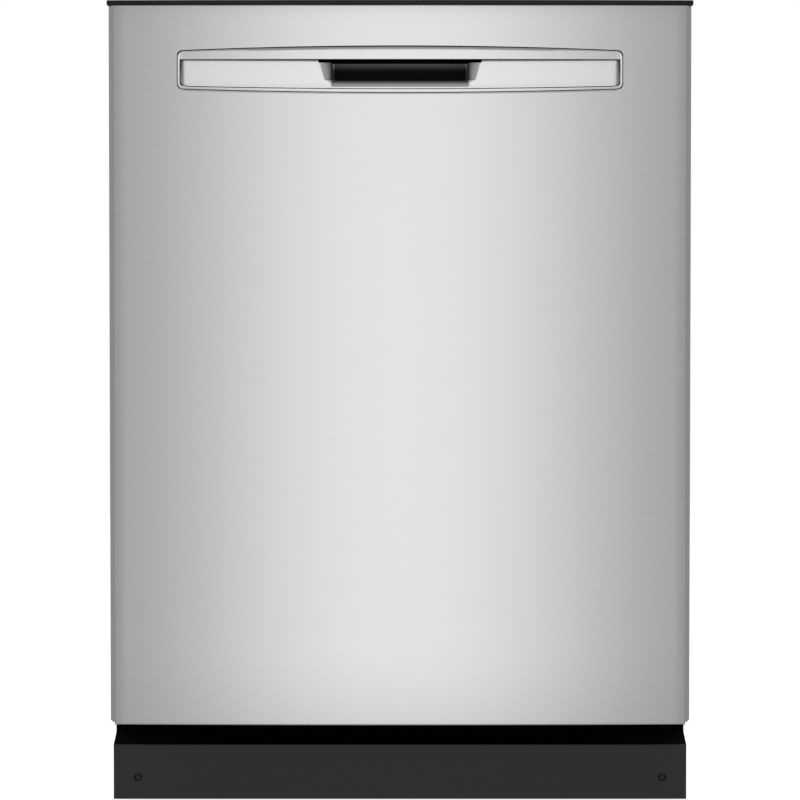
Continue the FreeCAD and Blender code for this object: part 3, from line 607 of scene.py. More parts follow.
def doorSkin():
    # columns run across the bow, round the side corner and back along the return
    half, radius = door["half"], door["corner"]
    openHalf, openRound = handle["half"], handle["round"]
    right = spread(0, openHalf - openRound, 26)
    right += [openHalf - openRound + openRound * math.sin(math.radians(a)) for a in range(10, 91, 10)]
    right += spread(openHalf + 2, half - radius, 6)
    stations = [(x, bowY(x), 0.0, -1.0) for x in right]
    edgeX, edgeY = half - radius, bowY(half - radius) + radius
    for a in range(12, 91, 13):
        turn = math.radians(a)
        stations.append((edgeX + radius * math.sin(turn), edgeY - radius * math.cos(turn),
                         math.sin(turn), -math.cos(turn)))
    stations += [(half, y, 1.0, 0.0) for y in spread(edgeY + 2, door["back"], 3)]
    stations = [(-x, y, -nx, ny) for x, y, nx, ny in reversed(stations[1:])] + stations
    hemTurns = [90, 60, 30, 0]
    points, faces, grains = [], [], []
    lowRows, midRows, topRows = 8, 4, 3
    table = []
    along = 0.0
    for s, (x, y, nx, ny) in enumerate(stations):
        inside = abs(x) <= openHalf
        place = x if inside else math.copysign(openHalf, x)
        innerLow = archEdge(place, openHalf, handle["lowEnd"], handle["lowMid"], openRound, -1)
        innerTop = archEdge(place, openHalf, handle["topEnd"], handle["topMid"], openRound, 1)
        lift = door["notch"] if abs(x) > half - door["notchWide"] else 0.0
        low, top = door["low"] + lift, door["top"]
        hem, bend = door["hem"], door["topRound"]
        column = []
        for depth in (door["hemDeep"], hem + 0.6):
            reach = depth if abs(x) < half - radius else hem + 0.1
            column.append((x - nx * reach, y - ny * reach, low))
        for a in hemTurns:
            turn = math.radians(a)
            column.append((x - nx * (hem - hem * math.cos(turn)), y - ny * (hem - hem * math.cos(turn)),
                           low + hem - hem * math.sin(turn)))
        body = spread(low + hem, innerLow, lowRows)[1:] + spread(innerLow, innerTop, midRows)[1:] \
            + spread(innerTop, top - bend, topRows)[1:]
        column += [(x, y, z) for z in body]
        for a in (30, 60, 90):
            turn = math.radians(a)
            column.append((x - nx * bend * (1 - math.cos(turn)), y - ny * bend * (1 - math.cos(turn)),
                           top - bend + bend * math.sin(turn)))
        column.append((x - nx * door["topDeep"], y - ny * door["topDeep"], top))
        if s:
            px, py = stations[s - 1][0], stations[s - 1][1]
            along += math.hypot(x - px, y - py)
        table.append([len(points) + i for i in range(len(column))])
        points += column
        grains += [(p[2], along) for p in column]
    hole = (2 + len(hemTurns) - 1 + lowRows, 2 + len(hemTurns) - 1 + lowRows + midRows)
    for s in range(len(stations) - 1):
        middle = abs(stations[s][0] + stations[s + 1][0]) / 2
        for r in range(len(table[0]) - 1):
            if hole[0] <= r < hole[1] and middle < openHalf:
                continue
            a, b = table[s], table[s + 1]
            faces.append((a[r], b[r], b[r + 1], a[r + 1]))
    mesh = meshFrom("doorSkin", points, faces)
    layer = mesh.uv_layers.new(name="grain")
    for loop in mesh.loops:
        u, v = grains[loop.vertex_index]
        layer.data[loop.index].uv = (mm(u), mm(v))
    skin = newObject("doorSkin", mesh)
    bake(thickened(skin, door["sheet"]))
    return settle(skin, "door", brushedStainless, ("door_outer_panel",), 50)


def handleBezel():
    # silver frame of the handle: crease near the arched top, thin rim on the other sides
    half, gap = handle["half"] - handle["gap"], handle["gap"]
    innerHalf = handle["recessHalf"]
    columns = mirrored(columnsFor(half, handle["round"], innerHalf))

    def edges(x):
        place = max(-innerHalf, min(innerHalf, x))
        outerLow = archEdge(x, half, handle["lowEnd"] + gap, handle["lowMid"] + gap, handle["round"], -1)
        outerTop = archEdge(x, half, handle["topEnd"] - gap, handle["topMid"] - gap, handle["round"], 1)
        innerLow = archEdge(place, innerHalf, handle["recessLowEnd"], handle["recessLowMid"],
                            handle["recessRound"], -1)
        return outerLow, max(innerLow, outerLow + handle["rimHigh"]), handle["recessTop"], outerTop

    def depth(x, z):
        top = edges(x)[3]
        crease = top - handle["creaseLow"] - handle["creaseArch"] * (1 - (x / half) ** 2)
        y = bowY(x) + handle["frameBack"]
        if z > crease:
            return y + handle["creaseTilt"] * (z - crease)
        return y + handle["faceTilt"] * (crease - z)

    points, faces = framedSheet(columns, edges, innerHalf, (2, 3, 9), depth)
    bezel = newObject("handleBezel", meshFrom("handleBezel", points, faces))
    bake(thickened(bezel, handle["frameSheet"]))
    bake(bevelled(bezel, 0.35, 2, 50))
    return settle(bezel, "door", silverAbs, ("handle_insert",), 12)


def rolledIn(reach):
    # share of the pocket depth: most of a quarter circle, then straight back
    if reach >= 1.0:
        return 1.0
    whole = 0.473  # what the arc gives at its end
    return handle["lipShare"] * (1.0 - math.sqrt(1.0 - (0.85 * max(0.0, reach)) ** 2)) / whole


def recessLow(x, turn):
    # lower edge of the frame opening, also past its ends
    inside = handle["recessHalf"] - 0.2
    return archEdge(max(-inside, min(inside, x)), handle["recessHalf"], handle["recessLowEnd"],
                    handle["recessLowMid"], turn, -1)


def gripDepth(x, z):
    # how far the handle surface lies behind the bowed front, and how much painted shade darkens its coat
    head = handle["recessTop"] - z
    wing = handle["wingDeep"] - handle["wingSwell"] * smoothStep(head / 27.0)
    wing -= handle["flatness"] * (bowY(x) - door["front"])
    wing -= handle["lowRoll"] * smoothStep((recessLow(x, handle["recessRound"]) + 6.0 - z) / 6.0)
    wing += handle["topRoll"] * max(0.0, 1.0 - head / 7.0) ** 2
    wing += handle["endRoll"] * math.exp(-((abs(x) - handle["recessHalf"]) / 2.0) ** 2)
    edge = handle["gripLowHalf"] + (handle["gripTopHalf"] - handle["gripLowHalf"]) \
        * (z - handle["gripLow"]) / (handle["slotLow"] - handle["gripLow"])
    # a rounded lip in front of a square pocket, its silver coat darkened inwards by painted shade
    side = (edge + 1.0 - abs(x)) / (edge + 1.0 - handle["pocketHalf"])
    rise = (z - handle["gripLow"]) / handle["lipRoll"] + 1.0
    wall = rolledIn(side) * rolledIn(rise)
    fade = smoothStep((side - 0.1) / handle["fadeAcross"]) * smoothStep((rise - 0.3) / handle["fadeUp"])
    return wing + wall * (handle["pocketDeep"] - wing), fade


def handleScoop():
    # recessed wings that roll into the finger pocket
    slotHalf, innerHalf = handle["gripTopHalf"], handle["recessHalf"] + 0.9
    pocketHalf, paintedBlackFrom = handle["pocketHalf"], handle["paintedBlackFrom"]
    columns = mirrored(
        spread(0, 58, 16) + spread(60, pocketHalf, 6) + spread(pocketHalf + 0.4, slotHalf - 0.1, 16)
        + [slotHalf + 0.05] + spread(slotHalf + 1.5, 104, 12) + spread(110, innerHalf - 8, 12)
        + spread(innerHalf - 6, innerHalf, 8))
    halfRows = 20
    rows = 2 * halfRows + 1
    points, tones, shares = [], [], {}
    for c, x in enumerate(columns):
        low = recessLow(x, 0.5) - 0.6
        top = handle["slotLow"] if abs(x) < slotHalf else handle["recessTop"] + 0.8
        heights = spread(low, handle["gripLow"] - 0.3, halfRows) + spread(handle["gripLow"], top, halfRows)
        for r, z in enumerate(heights):
            back, share = gripDepth(x, z)
            shares[c, r] = share
            # painted shade: the coat turns black into the pocket; inside the pocket a painted pale reflection
            # rises towards the top
            glow = handle["glow"] * smoothStep((z - handle["glowLow"]) / 9.0)
            tones.append(smoothStep(share / paintedBlackFrom) if share < paintedBlackFrom else 1.0 - glow)
            points.append((x, bowY(x) + back, z))
    faces = gridFaces(len(columns), rows + 1, flip=True)
    slots = [1 if min(shares[c, r], shares[c + 1, r + 1]) > paintedBlackFrom else 0
             for c in range(len(columns) - 1) for r in range(rows)]
    mesh = meshFrom("handleScoop", points, faces, slots)
    mesh.attributes.new("paintedShade", "FLOAT", "POINT").data.foreach_set("value", tones)
    for material in (rolledAbs, pocketAbs):
        mesh.materials.append(material)
    scoop = newObject("handleScoop", mesh)
    bake(thickened(scoop, handle["scoopSheet"]))
    settle(scoop, "door", None, (), 60)
    # hollow above and behind the pocket, open to the front and below, lined with painted black shade
    front, back, foot, head = handle["cavity"]
    cavity = roundedBlock("gripCavity", (-slotHalf - 2, front, foot), (slotHalf + 2, back, head), 0.0)
    work = bmesh.new()
    work.from_mesh(cavity.data)
    sides = [f for f in work.faces if f.normal.y < -0.9 or f.normal.z < -0.9]
    bmesh.ops.delete(work, geom=sides, context="FACES")
    for f in work.faces:
        f.normal_flip()
    work.to_mesh(cavity.data)
    work.free()
    bake(thickened(cavity, 1.0))
    settle(cavity, "door", paintedShadeBlack)


def handleOutline():
    # black wire in the gap as painted shade, and the rolled steel lip under it
    half, turn = handle["half"], handle["round"]
    across = mirrored(columnsFor(half, turn, handle["recessHalf"]))

    def edgeLine(grow, deep, side, ends, middle):
        return [(x * (half + grow) / half, bowY(x) + deep,
                 archEdge(x, half, handle[ends] + side * grow, handle[middle] + side * grow, turn, side))
                for x in across]

    low = edgeLine(-0.1, 0.55, -1, "lowEnd", "lowMid")
    top = edgeLine(-0.1, 0.55, 1, "topEnd", "topMid")
    loop = wires("handleGasket", [low + top[::-1] + [None]], handle["gapShadeWire"], 0, sealRubberAndPaintedShade, 6)
    settle(loop, "door", None, (), 60)
    low = [p for p in edgeLine(0.75, 0.1, -1, "lowEnd", "lowMid") if abs(p[0]) < half - turn]
    settle(wires("handleLip", [low], handle["lipWire"], 0, silverAbs, 8), "door", None, (), 60)
    # painted shadow: a black wire in the gap between the silver frame and the scoop
    inner, deep = handle["recessHalf"], 0.75
    sill = [(x, bowY(x) + deep, archEdge(x, inner, handle["recessLowEnd"], handle["recessLowMid"],
                                         handle["recessRound"], -1) + 0.15)
            for x in spread(-inner, inner, 60)]
    head = [(x, bowY(x) + deep, handle["recessTop"] - 0.1) for x in spread(inner, -inner, 60)]
    gapLine = wires("handleShadowGap", [sill + head + [None]], handle["shadowWire"], 0, sealRubberAndPaintedShade, 6)
    settle(gapLine, "door", None, (), 60)


doorSkin()
handleBezel()
handleScoop()
handleOutline()
softPiece("control_console", "consoleStrip", "door", consoleAbs, 0.8, 3, 30)
for node in ("power_button", "cycle_button", "heated_dry_button", "delay_button", "start_button"):
    softPiece(node, node + "Cap", node, buttonAbs, 0.8, 3, 30)
print("door front made")

toeKick = {
    "edge": 0.5, "shelfFrom": (-253.5, 57),  # y and z past which the shelf is painted black as shade
    "screwX": 277.5, "screwY": -255.5, "screwZ": 23, "screwRadius": 4.1, "screwHigh": 2.3,
}
kick = softCopy("toe_kick", "toeKick", toeKick["edge"], 3, 20)
shelfY, shelfZ = (mm(value) for value in toeKick["shelfFrom"])
for face in kick.data.polygons:
    # the shelf behind the bend is painted black as shade under the door
    face.material_index = 1 if face.center.y > shelfY and face.center.z > shelfZ else 0
settle(kick, "cabinet", [kickPowder, paintedShadeBlack], ("toe_kick",), 12)
kickScrews = rowOf("toeKickScrews", crossHead("kickHead", toeKick["screwRadius"], toeKick["screwHigh"]),
                   [(side * toeKick["screwX"], toeKick["screwY"], toeKick["screwZ"]) for side in (-1, 1)],
                   screwSteel)
settle(kickScrews, "cabinet", None, ("toe_kick_screws",), 30)
print("toe kick made")

# wash tub: one pressed steel shell with tracks, rounded corners and wall beads

sump = {
    # filter sheet: hole spacing, open share of each cell, faces
    "pitch": 6.2, "share": 0.62, "top": 118.0, "low": 115.8, "sheetRadius": 110,
    # filter cup and spray hub stand in the sheet; the float stands beside it
    "cupY": -62, "cupRadius": 33, "cupLow": 73, "cupHigh": 112, "cupShare": 0.6, "hubY": 40,
    "floatX": -205, "floatY": -205,
    # ribs round the bowl
    "ribs": 20, "ribFirst": 9,
    # heating ring on clips
    "ringRadius": 202, "ringZ": 128, "ringWire": 4,
    "clips": [((202, 40, 0), 0), ((-202, 40, 0), 0), ((0, 242, 0), 90), ((60, -153, 0), 70),
              ((-60, -153, 0), -70)],
}
tub = {
    "half": 276.0, "low": 120.0, "top": 815.0, "front": -250.0, "back": 296.0, "corner": 28.0,
    "backRound": 22.0, "sheet": 1.2,
    # step in the floor that the lower rack rolls on: x, height
    "track": [(248, 120.8), (250.5, 124), (251.6, 129), (253.2, 133), (256, 133.9), (268, 133.9),
              (272, 135.4), (274.8, 138.6), (276, 144)],
    # pressed beads along the side walls: heights, how far they stand in, where they end
    "beads": (262, 352, 438, 682, 742), "bead": 3.0, "beadFrom": -215, "beadTo": 262,
    "sumpHole": 112, "floatHole": 4.6,
}


def washTub():
    right = [(x, tub["low"]) for x in spread(0, 244, 14)]
    right += tub["track"] + [(tub["half"], z) for z in spread(150, tub["top"] - tub["corner"], 90)]
    for a in range(15, 91, 15):
        bend = math.radians(a)
        right.append((tub["half"] - tub["corner"] * (1 - math.cos(bend)),
                      tub["top"] - tub["corner"] * (1 - math.sin(bend))))
    right += [(x, tub["top"]) for x in spread(240, 0, 14)[:-1]]
    section = right + [(-x, z) for x, z in reversed(right[1:])]
    rows = [(y, 0.0) for y in spread(tub["front"], tub["back"] - tub["backRound"], 34)]
    for a in range(15, 91, 15):
        bend = math.radians(a)
        rows.append((tub["back"] - tub["backRound"] * (1 - math.sin(bend)),
                     tub["backRound"] * (1 - math.cos(bend))))
    points = []
    middle, reach = (tub["low"] + tub["top"]) / 2, (tub["top"] - tub["low"]) / 2
    for y, pull in rows:
        for x, z in section:
            inward = 0.0
            if abs(x) > tub["half"] - 1:
                along = smoothStep((y - tub["beadFrom"]) / 18) * smoothStep((tub["beadTo"] - y) / 18)
                inward = along * max(smoothStep((13 - abs(z - c)) / 7) for c in tub["beads"]) * tub["bead"]
            points.append((math.copysign(abs(x) - inward - pull * abs(x) / tub["half"], x), y,
                           z + pull * (middle - z) / reach))
    count = len(section)
    faces = gridFaces(len(rows), count, True, True)
    last = (len(rows) - 1) * count
    faces.append(tuple(last + i for i in range(count)))
    shell = newObject("washTub", meshFrom("washTub", points, faces))
    recalcNormals(shell.data)
    bake(thickened(shell, tub["sheet"], 1.0))
    sumpHole, floatHole = tub["sumpHole"], tub["floatHole"]
    carved(shell, [turned("hole", [(0, 80), (sumpHole, 80), (sumpHole, 160), (0, 160)], 64),
                   turned("hole", [(0, 100), (floatHole, 100), (floatHole, 140), (0, 140)], 16, "z",
                          (sump["floatX"], sump["floatY"], 0))])
    settle(shell, "cabinet", satinStainless,
           ("tub_left_wall", "tub_right_wall", "tub_ceiling", "tub_back_wall", "tub_floor"), 32)


pan = {
    # pressed inner skin of the door
    "half": 300.6, "front": -298.5, "face": -257.0, "low": 118.0, "top": 834.2, "round": 5.0, "sheet": 1.1,
    # pressed field: depth, slope width, half width, foot and head; ridges across it
    "press": 4.5, "edge": 14.0, "field": (258, 146, 782), "flat": (134, 311, 489),
    "beads": (206, 262, 540, 596), "beadHigh": 2.2, "beadHalf": 226,
    # cut-outs: half width, foot, head
    "dispenser": (110.2, 334.8, 465.2), "latch": (31, 796, 812),
    "ventX": 165, "ventZ": 650, "ventFlat": 46, "ventHole": 34,
    "screwX": 294, "screwHeights": (330, 470, 620, 780),
}


def pressDepth(x, z):
    # pressed field of the inner door, flat round dispenser, vent, latch and seal
    def well(value, low, high):
        return smoothStep((value - low) / pan["edge"]) * smoothStep((high - value) / pan["edge"])

    def plate(half, low, high):
        return well(x, -half, half) * well(z, low, high)

    field = plate(*pan["field"]) * (1 - plate(*pan["flat"]))
    field *= smoothStep((math.hypot(x - pan["ventX"], z - pan["ventZ"]) - pan["ventFlat"]) / pan["edge"])
    ridge = max(smoothStep((12 - abs(z - c)) / 8) for c in pan["beads"])
    ridge *= well(x, -pan["beadHalf"], pan["beadHalf"])
    return pan["press"] * field - pan["beadHigh"] * ridge * field


def innerDoor():
    stations = [(-pan["half"], y, 0) for y in (pan["front"], -280, -263)]
    for a in (18, 36, 54, 72, 90):
        bend = math.radians(a)
        stations.append((-pan["half"] + pan["round"] * (1 - math.cos(bend)),
                         pan["face"] - pan["round"] * (1 - math.sin(bend)), 0))
    stations += [(x, pan["face"], 1) for x in spread(-292, 292, 118)]
    stations += [(-x, y, 0) for x, y, flat in reversed(stations[:8])]
    heights = spread(pan["low"], pan["top"], 142)
    points = [(x, y - flat * pressDepth(x, z), z) for x, y, flat in stations for z in heights]
    faces = gridFaces(len(stations), len(heights))
    sheet = newObject("innerDoor", meshFrom("innerDoor", points, faces))
    bake(thickened(sheet, pan["sheet"]))
    holes = [roundedBlock("hole", (-half, -275, low), (half, -250, high), 0)
             for half, low, high in (pan["dispenser"], pan["latch"])]
    ventHole = pan["ventHole"]
    holes.append(turned("hole", [(0, -275), (ventHole, -275), (ventHole, -250), (0, -250)], 48, "y",
                        (pan["ventX"], 0, pan["ventZ"])))
    carved(sheet, holes)
    head = crossHead("panHead", 4.2, 1.5)
    head.data.transform(Matrix.Rotation(math.radians(180), 4, "Z"))
    spots = [(side * pan["screwX"], pan["face"], z) for side in (-1, 1) for z in pan["screwHeights"]]
    screws = rowOf("innerDoorScrews", head, spots, blackOxide)
    assemble("innerDoor", [painted(sheet, satinStainless), screws], "door", "door_inner_panel", 32)


fittings = {
    # round vent with slats, and the turning cap of the rinse aid
    "slatPitch": 9, "slatReach": 33.2, "slatHalf": 5.2, "slatThick": 0.9, "slatTilt": -28, "slatY": -261,
    "capX": 84, "capZ": 400, "capRadius": 16.9, "barHalf": 14, "barFront": -245.2,
}


def doorFittings():
    softPiece("door_latch", "latch", "door", darkPolypropylene, 0.7)
    ring = turned("ventRing", [(34.2, 0), (38, 0), (38, 1.6), (36.5, 3.4), (34.2, 3.4), (32.6, 1.2),
                               (32.6, -12), (33.6, -12), (34.2, 0)], 48, "y",
                  (pan["ventX"], pan["face"], pan["ventZ"]))
    pieces = [painted(ring, greyPolypropylene)]
    deep, thick = fittings["slatHalf"], fittings["slatThick"]
    for z in range(-27, 28, fittings["slatPitch"]):
        wide = math.sqrt(fittings["slatReach"] ** 2 - z * z)
        slat = roundedBlock("slat", (-wide, -deep, -thick), (wide, deep, thick), 0.5, 2)
        place = [mm(pan["ventX"]), mm(fittings["slatY"]), mm(pan["ventZ"] + z)]
        slat.data.transform(Matrix.Translation(place)
                            @ Matrix.Rotation(math.radians(fittings["slatTilt"]), 4, "X"))
        pieces.append(painted(slat, greyPolypropylene))
    assemble("doorVent", pieces, "door", "door_vent")
    softPiece("detergent_dispenser", "dispenserCase", "door", greyPolypropylene, 1.2, 3)
    softPiece("detergent_lid", "dispenserLid", "detergent_lid", darkPolypropylene, 0.9, 3)
    capX, capZ, wide = fittings["capX"], fittings["capZ"], fittings["capRadius"]
    cap = turned("rinseCap", [(0, -263), (wide, -263), (wide, -250.6), (15.8, -249.4), (12, -249),
                              (0, -249)], 40, "y", (capX, 0, capZ))
    bar = roundedBlock("rinseBar", (capX - fittings["barHalf"], -249.6, capZ - 3),
                       (capX + fittings["barHalf"], fittings["barFront"], capZ + 3), 1.2)
    assemble("rinseCap", [painted(part, bluePolypropylene) for part in (cap, bar)], "rinse_aid_cap",
             "rinse_aid_cap")
    softPiece("door_bottom_seal", "bottomSeal", "door", sealRubberAndPaintedShade, 0.7)
    softPiece("hinge_arms", "hingeArms", "door", zincSteel, 0.4)
    softPiece("door_insulation", "doorFelt", "door", feltMat, 3)


gasket = {"lips": (281.2, 286.8), "face": -254.2, "low": 137.0, "top": 820.2, "step": 5.6, "lip": 2.1}


def cabinetFront():
    softPiece("tub_front_frame", "frontFrame", "cabinet", satinStainless, 0.5)
    lines = []
    for index, half in enumerate(gasket["lips"]):
        top = gasket["top"] + index * gasket["step"]
        lines.append([(-half, gasket["face"], gasket["low"]), (-half, gasket["face"], top),
                      (half, gasket["face"], top), (half, gasket["face"], gasket["low"])])
    seal = wires("doorSeal", lines, gasket["lip"], 8, sealRubberAndPaintedShade, 10)
    settle(seal, "cabinet", None, ("door_gasket",), 60)
    softPiece("hinge_brackets", "hingeBrackets", "cabinet", zincSteel, 0.3)
    softPiece("mounting_brackets", "topTabs", "cabinet", zincSteel, 0.3)


blanket = {
    # stitched ribs of the mat: on the sides every 92 mm, on the back every 90 mm
    "ribWide": 3, "ribHigh": 1.2, "ribLong": 600, "middle": 480,
    "sideX": 287.2, "sidePlaces": range(-180, 281, 92), "backY": 307.2, "backPlaces": range(-225, 226, 90),
}


def soundBlanket():
    mat = painted(softCopy("sound_blanket", "soundBlanket", 3, 3), feltMat)
    wide, high, reach, middle = (blanket[k] for k in ("ribWide", "ribHigh", "ribLong", "middle"))
    rib = roundedBlock("rib", (-wide, -high, -reach / 2), (wide, high, reach / 2), 1.1, 2)
    sides = [(side * blanket["sideX"], y, middle) for side in (-1, 1) for y in blanket["sidePlaces"]]
    backs = [(x, blanket["backY"], middle) for x in blanket["backPlaces"]]
    turns = [(0, 0, 90)] * len(sides) + [(0, 0, 0)] * len(backs)
    ribs = rowOf("blanketRibs", rib, sides + backs, feltMat, turns)
    assemble("soundBlanket", [mat, ribs], "cabinet", "sound_blanket")


spring = {
    # counterbalance springs beside the tub: coil, then a hook at each end
    "coil": 8.6, "wire": 1.4, "turns": 34, "length": 148, "x": 268, "z": 75, "front": -129, "hook": 36,
    "hookWire": 2,
}
base = {
    "boltX": 298, "boltZ": 80, "boltPlaces": (-180, -60, 90, 240), "boltRadius": 4.5, "boltHigh": 2.2,
    "legX": 270, "legFront": -208, "legBack": 288, "stem": 4.2, "threadWire": 0.55, "threadTurns": 31,
}


def baseParts():
    frameSteel = painted(softCopy("base_frame", "baseFrame", 0.5), zincSteel)
    bolt = crossHead("frameBolt", base["boltRadius"], base["boltHigh"])
    spots = [(side * base["boltX"], y, base["boltZ"]) for side in (-1, 1) for y in base["boltPlaces"]]
    turns = [(0, 0, side * 90) for side in (-1, 1) for y in base["boltPlaces"]]
    bolts = rowOf("frameBolts", bolt, spots, blackOxide, turns)
    assemble("baseFrame", [frameSteel, bolts], "cabinet", "base_frame")
    pieces = []
    z, front, radius = spring["z"], spring["front"], spring["coil"]
    back = front + spring["length"]
    for side in (-1, 1):
        x = side * spring["x"]
        pieces.append(coil("coil", radius, spring["length"], spring["turns"], spring["wire"], springWire, "y",
                           (x, front, z)))
        hooks = [[(x, front - spring["hook"], z), (x, front, z), (x, front, z + radius)],
                 [(x, back, z - radius), (x, back, z), (x, back + spring["hook"], z)]]
        pieces.append(wires("hooks", hooks, spring["hookWire"], 3, springWire))
        pieces.append(painted(roundedBlock("anchor", (x - 6, 55, 43), (x + 6, 58, 84), 0.5), zincSteel))
    assemble("doorSprings", pieces, "cabinet", "door_springs")
    stem = base["stem"]
    for end, y in (("front", base["legFront"]), ("rear", base["legBack"])):
        for hand, x in (("left", -base["legX"]), ("right", base["legX"])):
            node = end + "_" + hand + "_leg"
            foot = turned("foot", [(0, 0), (15.5, 0), (17, 1.2), (17, 4.4), (15.6, 6), (7, 6.2), (7, 12),
                                   (stem, 12), (stem, 75.4), (3.4, 76), (0, 76)], 36, "z", (x, y, 0))
            thread = coil("thread", stem, 62, base["threadTurns"], base["threadWire"], darkPolypropylene, "z",
                          (x, y, 13))
            assemble(node + "Foot", [painted(foot, darkPolypropylene), thread], node, node, 40)


def hexSheet(radius, pitch, high, holes):
    # hexagon cells that fill a disc, left out near round holes
    points, faces, known = [], [], {}
    step = pitch * math.sqrt(3) / 2
    for row in range(-int(radius / step), int(radius / step) + 1):
        for column in range(-int(radius / pitch) - 1, int(radius / pitch) + 2):
            x, y = (column + 0.5 * (row % 2)) * pitch, row * step
            if math.hypot(x, y) > radius - pitch * 0.62:
                continue
            if any(math.hypot(x - a, y - b) < r + pitch * 0.62 for a, b, r in holes):
                continue
            face = []
            for k in range(6):
                bend = math.radians(60 * k + 30)
                spot = (x + pitch / math.sqrt(3) * math.cos(bend), y + pitch / math.sqrt(3) * math.sin(bend))
                key = (round(spot[0], 2), round(spot[1], 2))
                if key not in known:
                    known[key] = len(points)
                    points.append((spot[0], spot[1], high))
                face.append(known[key])
            faces.append(tuple(face))
    return points, faces


def sumpParts():
    bowl = painted(softCopy("sump", "sumpBowl", 1.2), greyPolypropylene)
    rib = roundedBlock("rib", (112, -1.4, 66), (121, 1.4, 112), 0.8, 2)
    count = sump["ribs"]
    ribs = rowOf("sumpRibs", rib, [(0, 0, 0)] * count, greyPolypropylene,
                 [(0, 0, 360 / count * k + sump["ribFirst"]) for k in range(count)])
    assemble("sumpBowl", [bowl, ribs], "cabinet", "sump")
    low, top = sump["low"], sump["top"]
    cup, hub = (0, sump["cupY"], 0), (0, sump["hubY"], 0)
    points, faces = hexSheet(sump["sheetRadius"], sump["pitch"], low, [cup[:2] + (37,), hub[:2] + (15,)])
    parts = [sieve("filterMesh", points, faces, sump["share"], 1.0, filterStainless)]
    lip = low + 1.2
    for section, count, at in (
            ([(107, low), (114.4, low), (114.4, top), (111, top), (107, lip), (107, low)], 64, (0, 0, 0)),
            ([(34.6, low), (40, low), (40, low + 1.4), (37, top), (34.6, top), (34.6, low)], 48, cup),
            ([(12.6, low), (17, low), (17, lip), (15, top), (12.6, top), (12.6, low)], 32, hub)):
        parts.append(painted(turned("rim", section, count, "z", at), greyPolypropylene))
    assemble("flatFilter", parts, "cabinet", "flat_filter", 40)
    filterCup(cup)
    bob = turned("float", [(0, 101), (3.4, 101), (4, 102), (4, 124), (15.6, 124), (17, 125.4), (17, 144),
                           (15, 147), (9, 148), (0, 148)], 36, "z", (sump["floatX"], sump["floatY"], 0))
    settle(bob, "overfill_float", greyPolypropylene, ("overfill_float",))
    ring = [(sump["ringRadius"] * math.cos(math.radians(a)),
             sump["hubY"] + sump["ringRadius"] * math.sin(math.radians(a)), sump["ringZ"])
            for a in range(0, 360, 5)]
    tube = wires("heaterTube", [ring + [None]], sump["ringWire"], 0, heaterAlloy, 12)
    clip = roundedBlock("clip", (-5, -5.4, 120), (5, 5.4, 124.6), 0.8, 2)
    feet = rowOf("heaterClips", clip, [spot for spot, turn in sump["clips"]], zincSteel,
                 [(0, 0, turn) for spot, turn in sump["clips"]])
    assemble("heater", [tube, feet], "cabinet", "heating_element", 50)


def filterCup(at):
    # perforated round wall with a base, a rim and a bar to twist it by
    points, columns, levels = [], 54, 14
    for z in spread(sump["cupLow"], sump["cupHigh"], levels):
        for c in range(columns):
            bend = 2 * math.pi * c / columns
            points.append((sump["cupRadius"] * math.cos(bend),
                           sump["cupY"] + sump["cupRadius"] * math.sin(bend), z))
    faces = gridFaces(levels + 1, columns, True)
    wall = sieve("cupMesh", points, faces, sump["cupShare"], 0.8, filterStainless)
    y = sump["cupY"]
    parts = [turned("cupBase", [(0, 70), (33, 70), (34, 71), (34, 74), (32, 74), (32, 72), (0, 72)], 48,
                    "z", at),
             turned("cupRim", [(31.6, 111), (34, 111), (34, 127), (33, 128), (31.6, 128), (31.6, 111)], 48,
                    "z", at),
             roundedBlock("cupGrip", (-31.8, y - 3, 118), (31.8, y + 3, 132), 2),
             roundedBlock("cupPost", (-2, y - 2, 71), (2, y + 2, 120), 1)]
    assemble("filterCup", [wall] + [painted(p, greyPolypropylene) for p in parts], "filter_cup",
             "filter_cup", 40)


pumps = {
    # cooling fins round both motors: height of the axis, radii, half thickness, places
    "axisZ": 84, "washFin": (30, 33.6, 0.8), "washFins": range(146, 201, 6),
    "drainFin": (24, 26.7, 0.7), "drainFins": range(-192, -186, 5),
    "boxScrews": [(190, -190, 88), (240, -190, 88)],
    "clampY": 282, "clamps": (170, 330, 430, 640, 760),
}


def pumpParts():
    for name, node, soft, label, sides in (("washPump", "wash_pump", 1.5, "wash", 40),
                                           ("drainPump", "drain_pump", 1.0, "drain", 36)):
        inner, outer, thick = pumps[label + "Fin"]
        fin = turned("fin", collar(inner, outer, -thick, thick), sides, "x")
        fins = rowOf(name + "Fins", fin, [(x, 0, pumps["axisZ"]) for x in pumps[label + "Fins"]],
                     darkPolypropylene)
        assemble(name, [painted(softCopy(node, name, soft), darkPolypropylene), fins], "cabinet", node)
    valve = painted(softCopy("inlet_valve", "inletValve", 1.0), whitePolypropylene)
    thread = coil("spigotThread", 10.6, 14, 7, 0.45, whitePolypropylene, "z", (-210, -165, 23))
    assemble("inletValve", [valve, thread], "cabinet", "inlet_valve")
    tray = painted(softCopy("junction_box", "junctionBox", 0.4), zincSteel)
    screws = rowOf("boxScrews", crossHead("boxHead", 3.6, 1.6), pumps["boxScrews"], blackOxide)
    assemble("junctionBox", [tray, screws], "cabinet", "junction_box")
    tube = painted(softCopy("water_feed_tube", "feedTube", 1.0), greyPolypropylene)
    ring = turned("ring", collar(11, 13.2, -4, 4), 32, "z")
    rings = rowOf("feedClamps", ring, [(0, pumps["clampY"], z) for z in pumps["clamps"]], greyPolypropylene)
    assemble("feedTube", [tube, rings], "cabinet", "water_feed_tube")


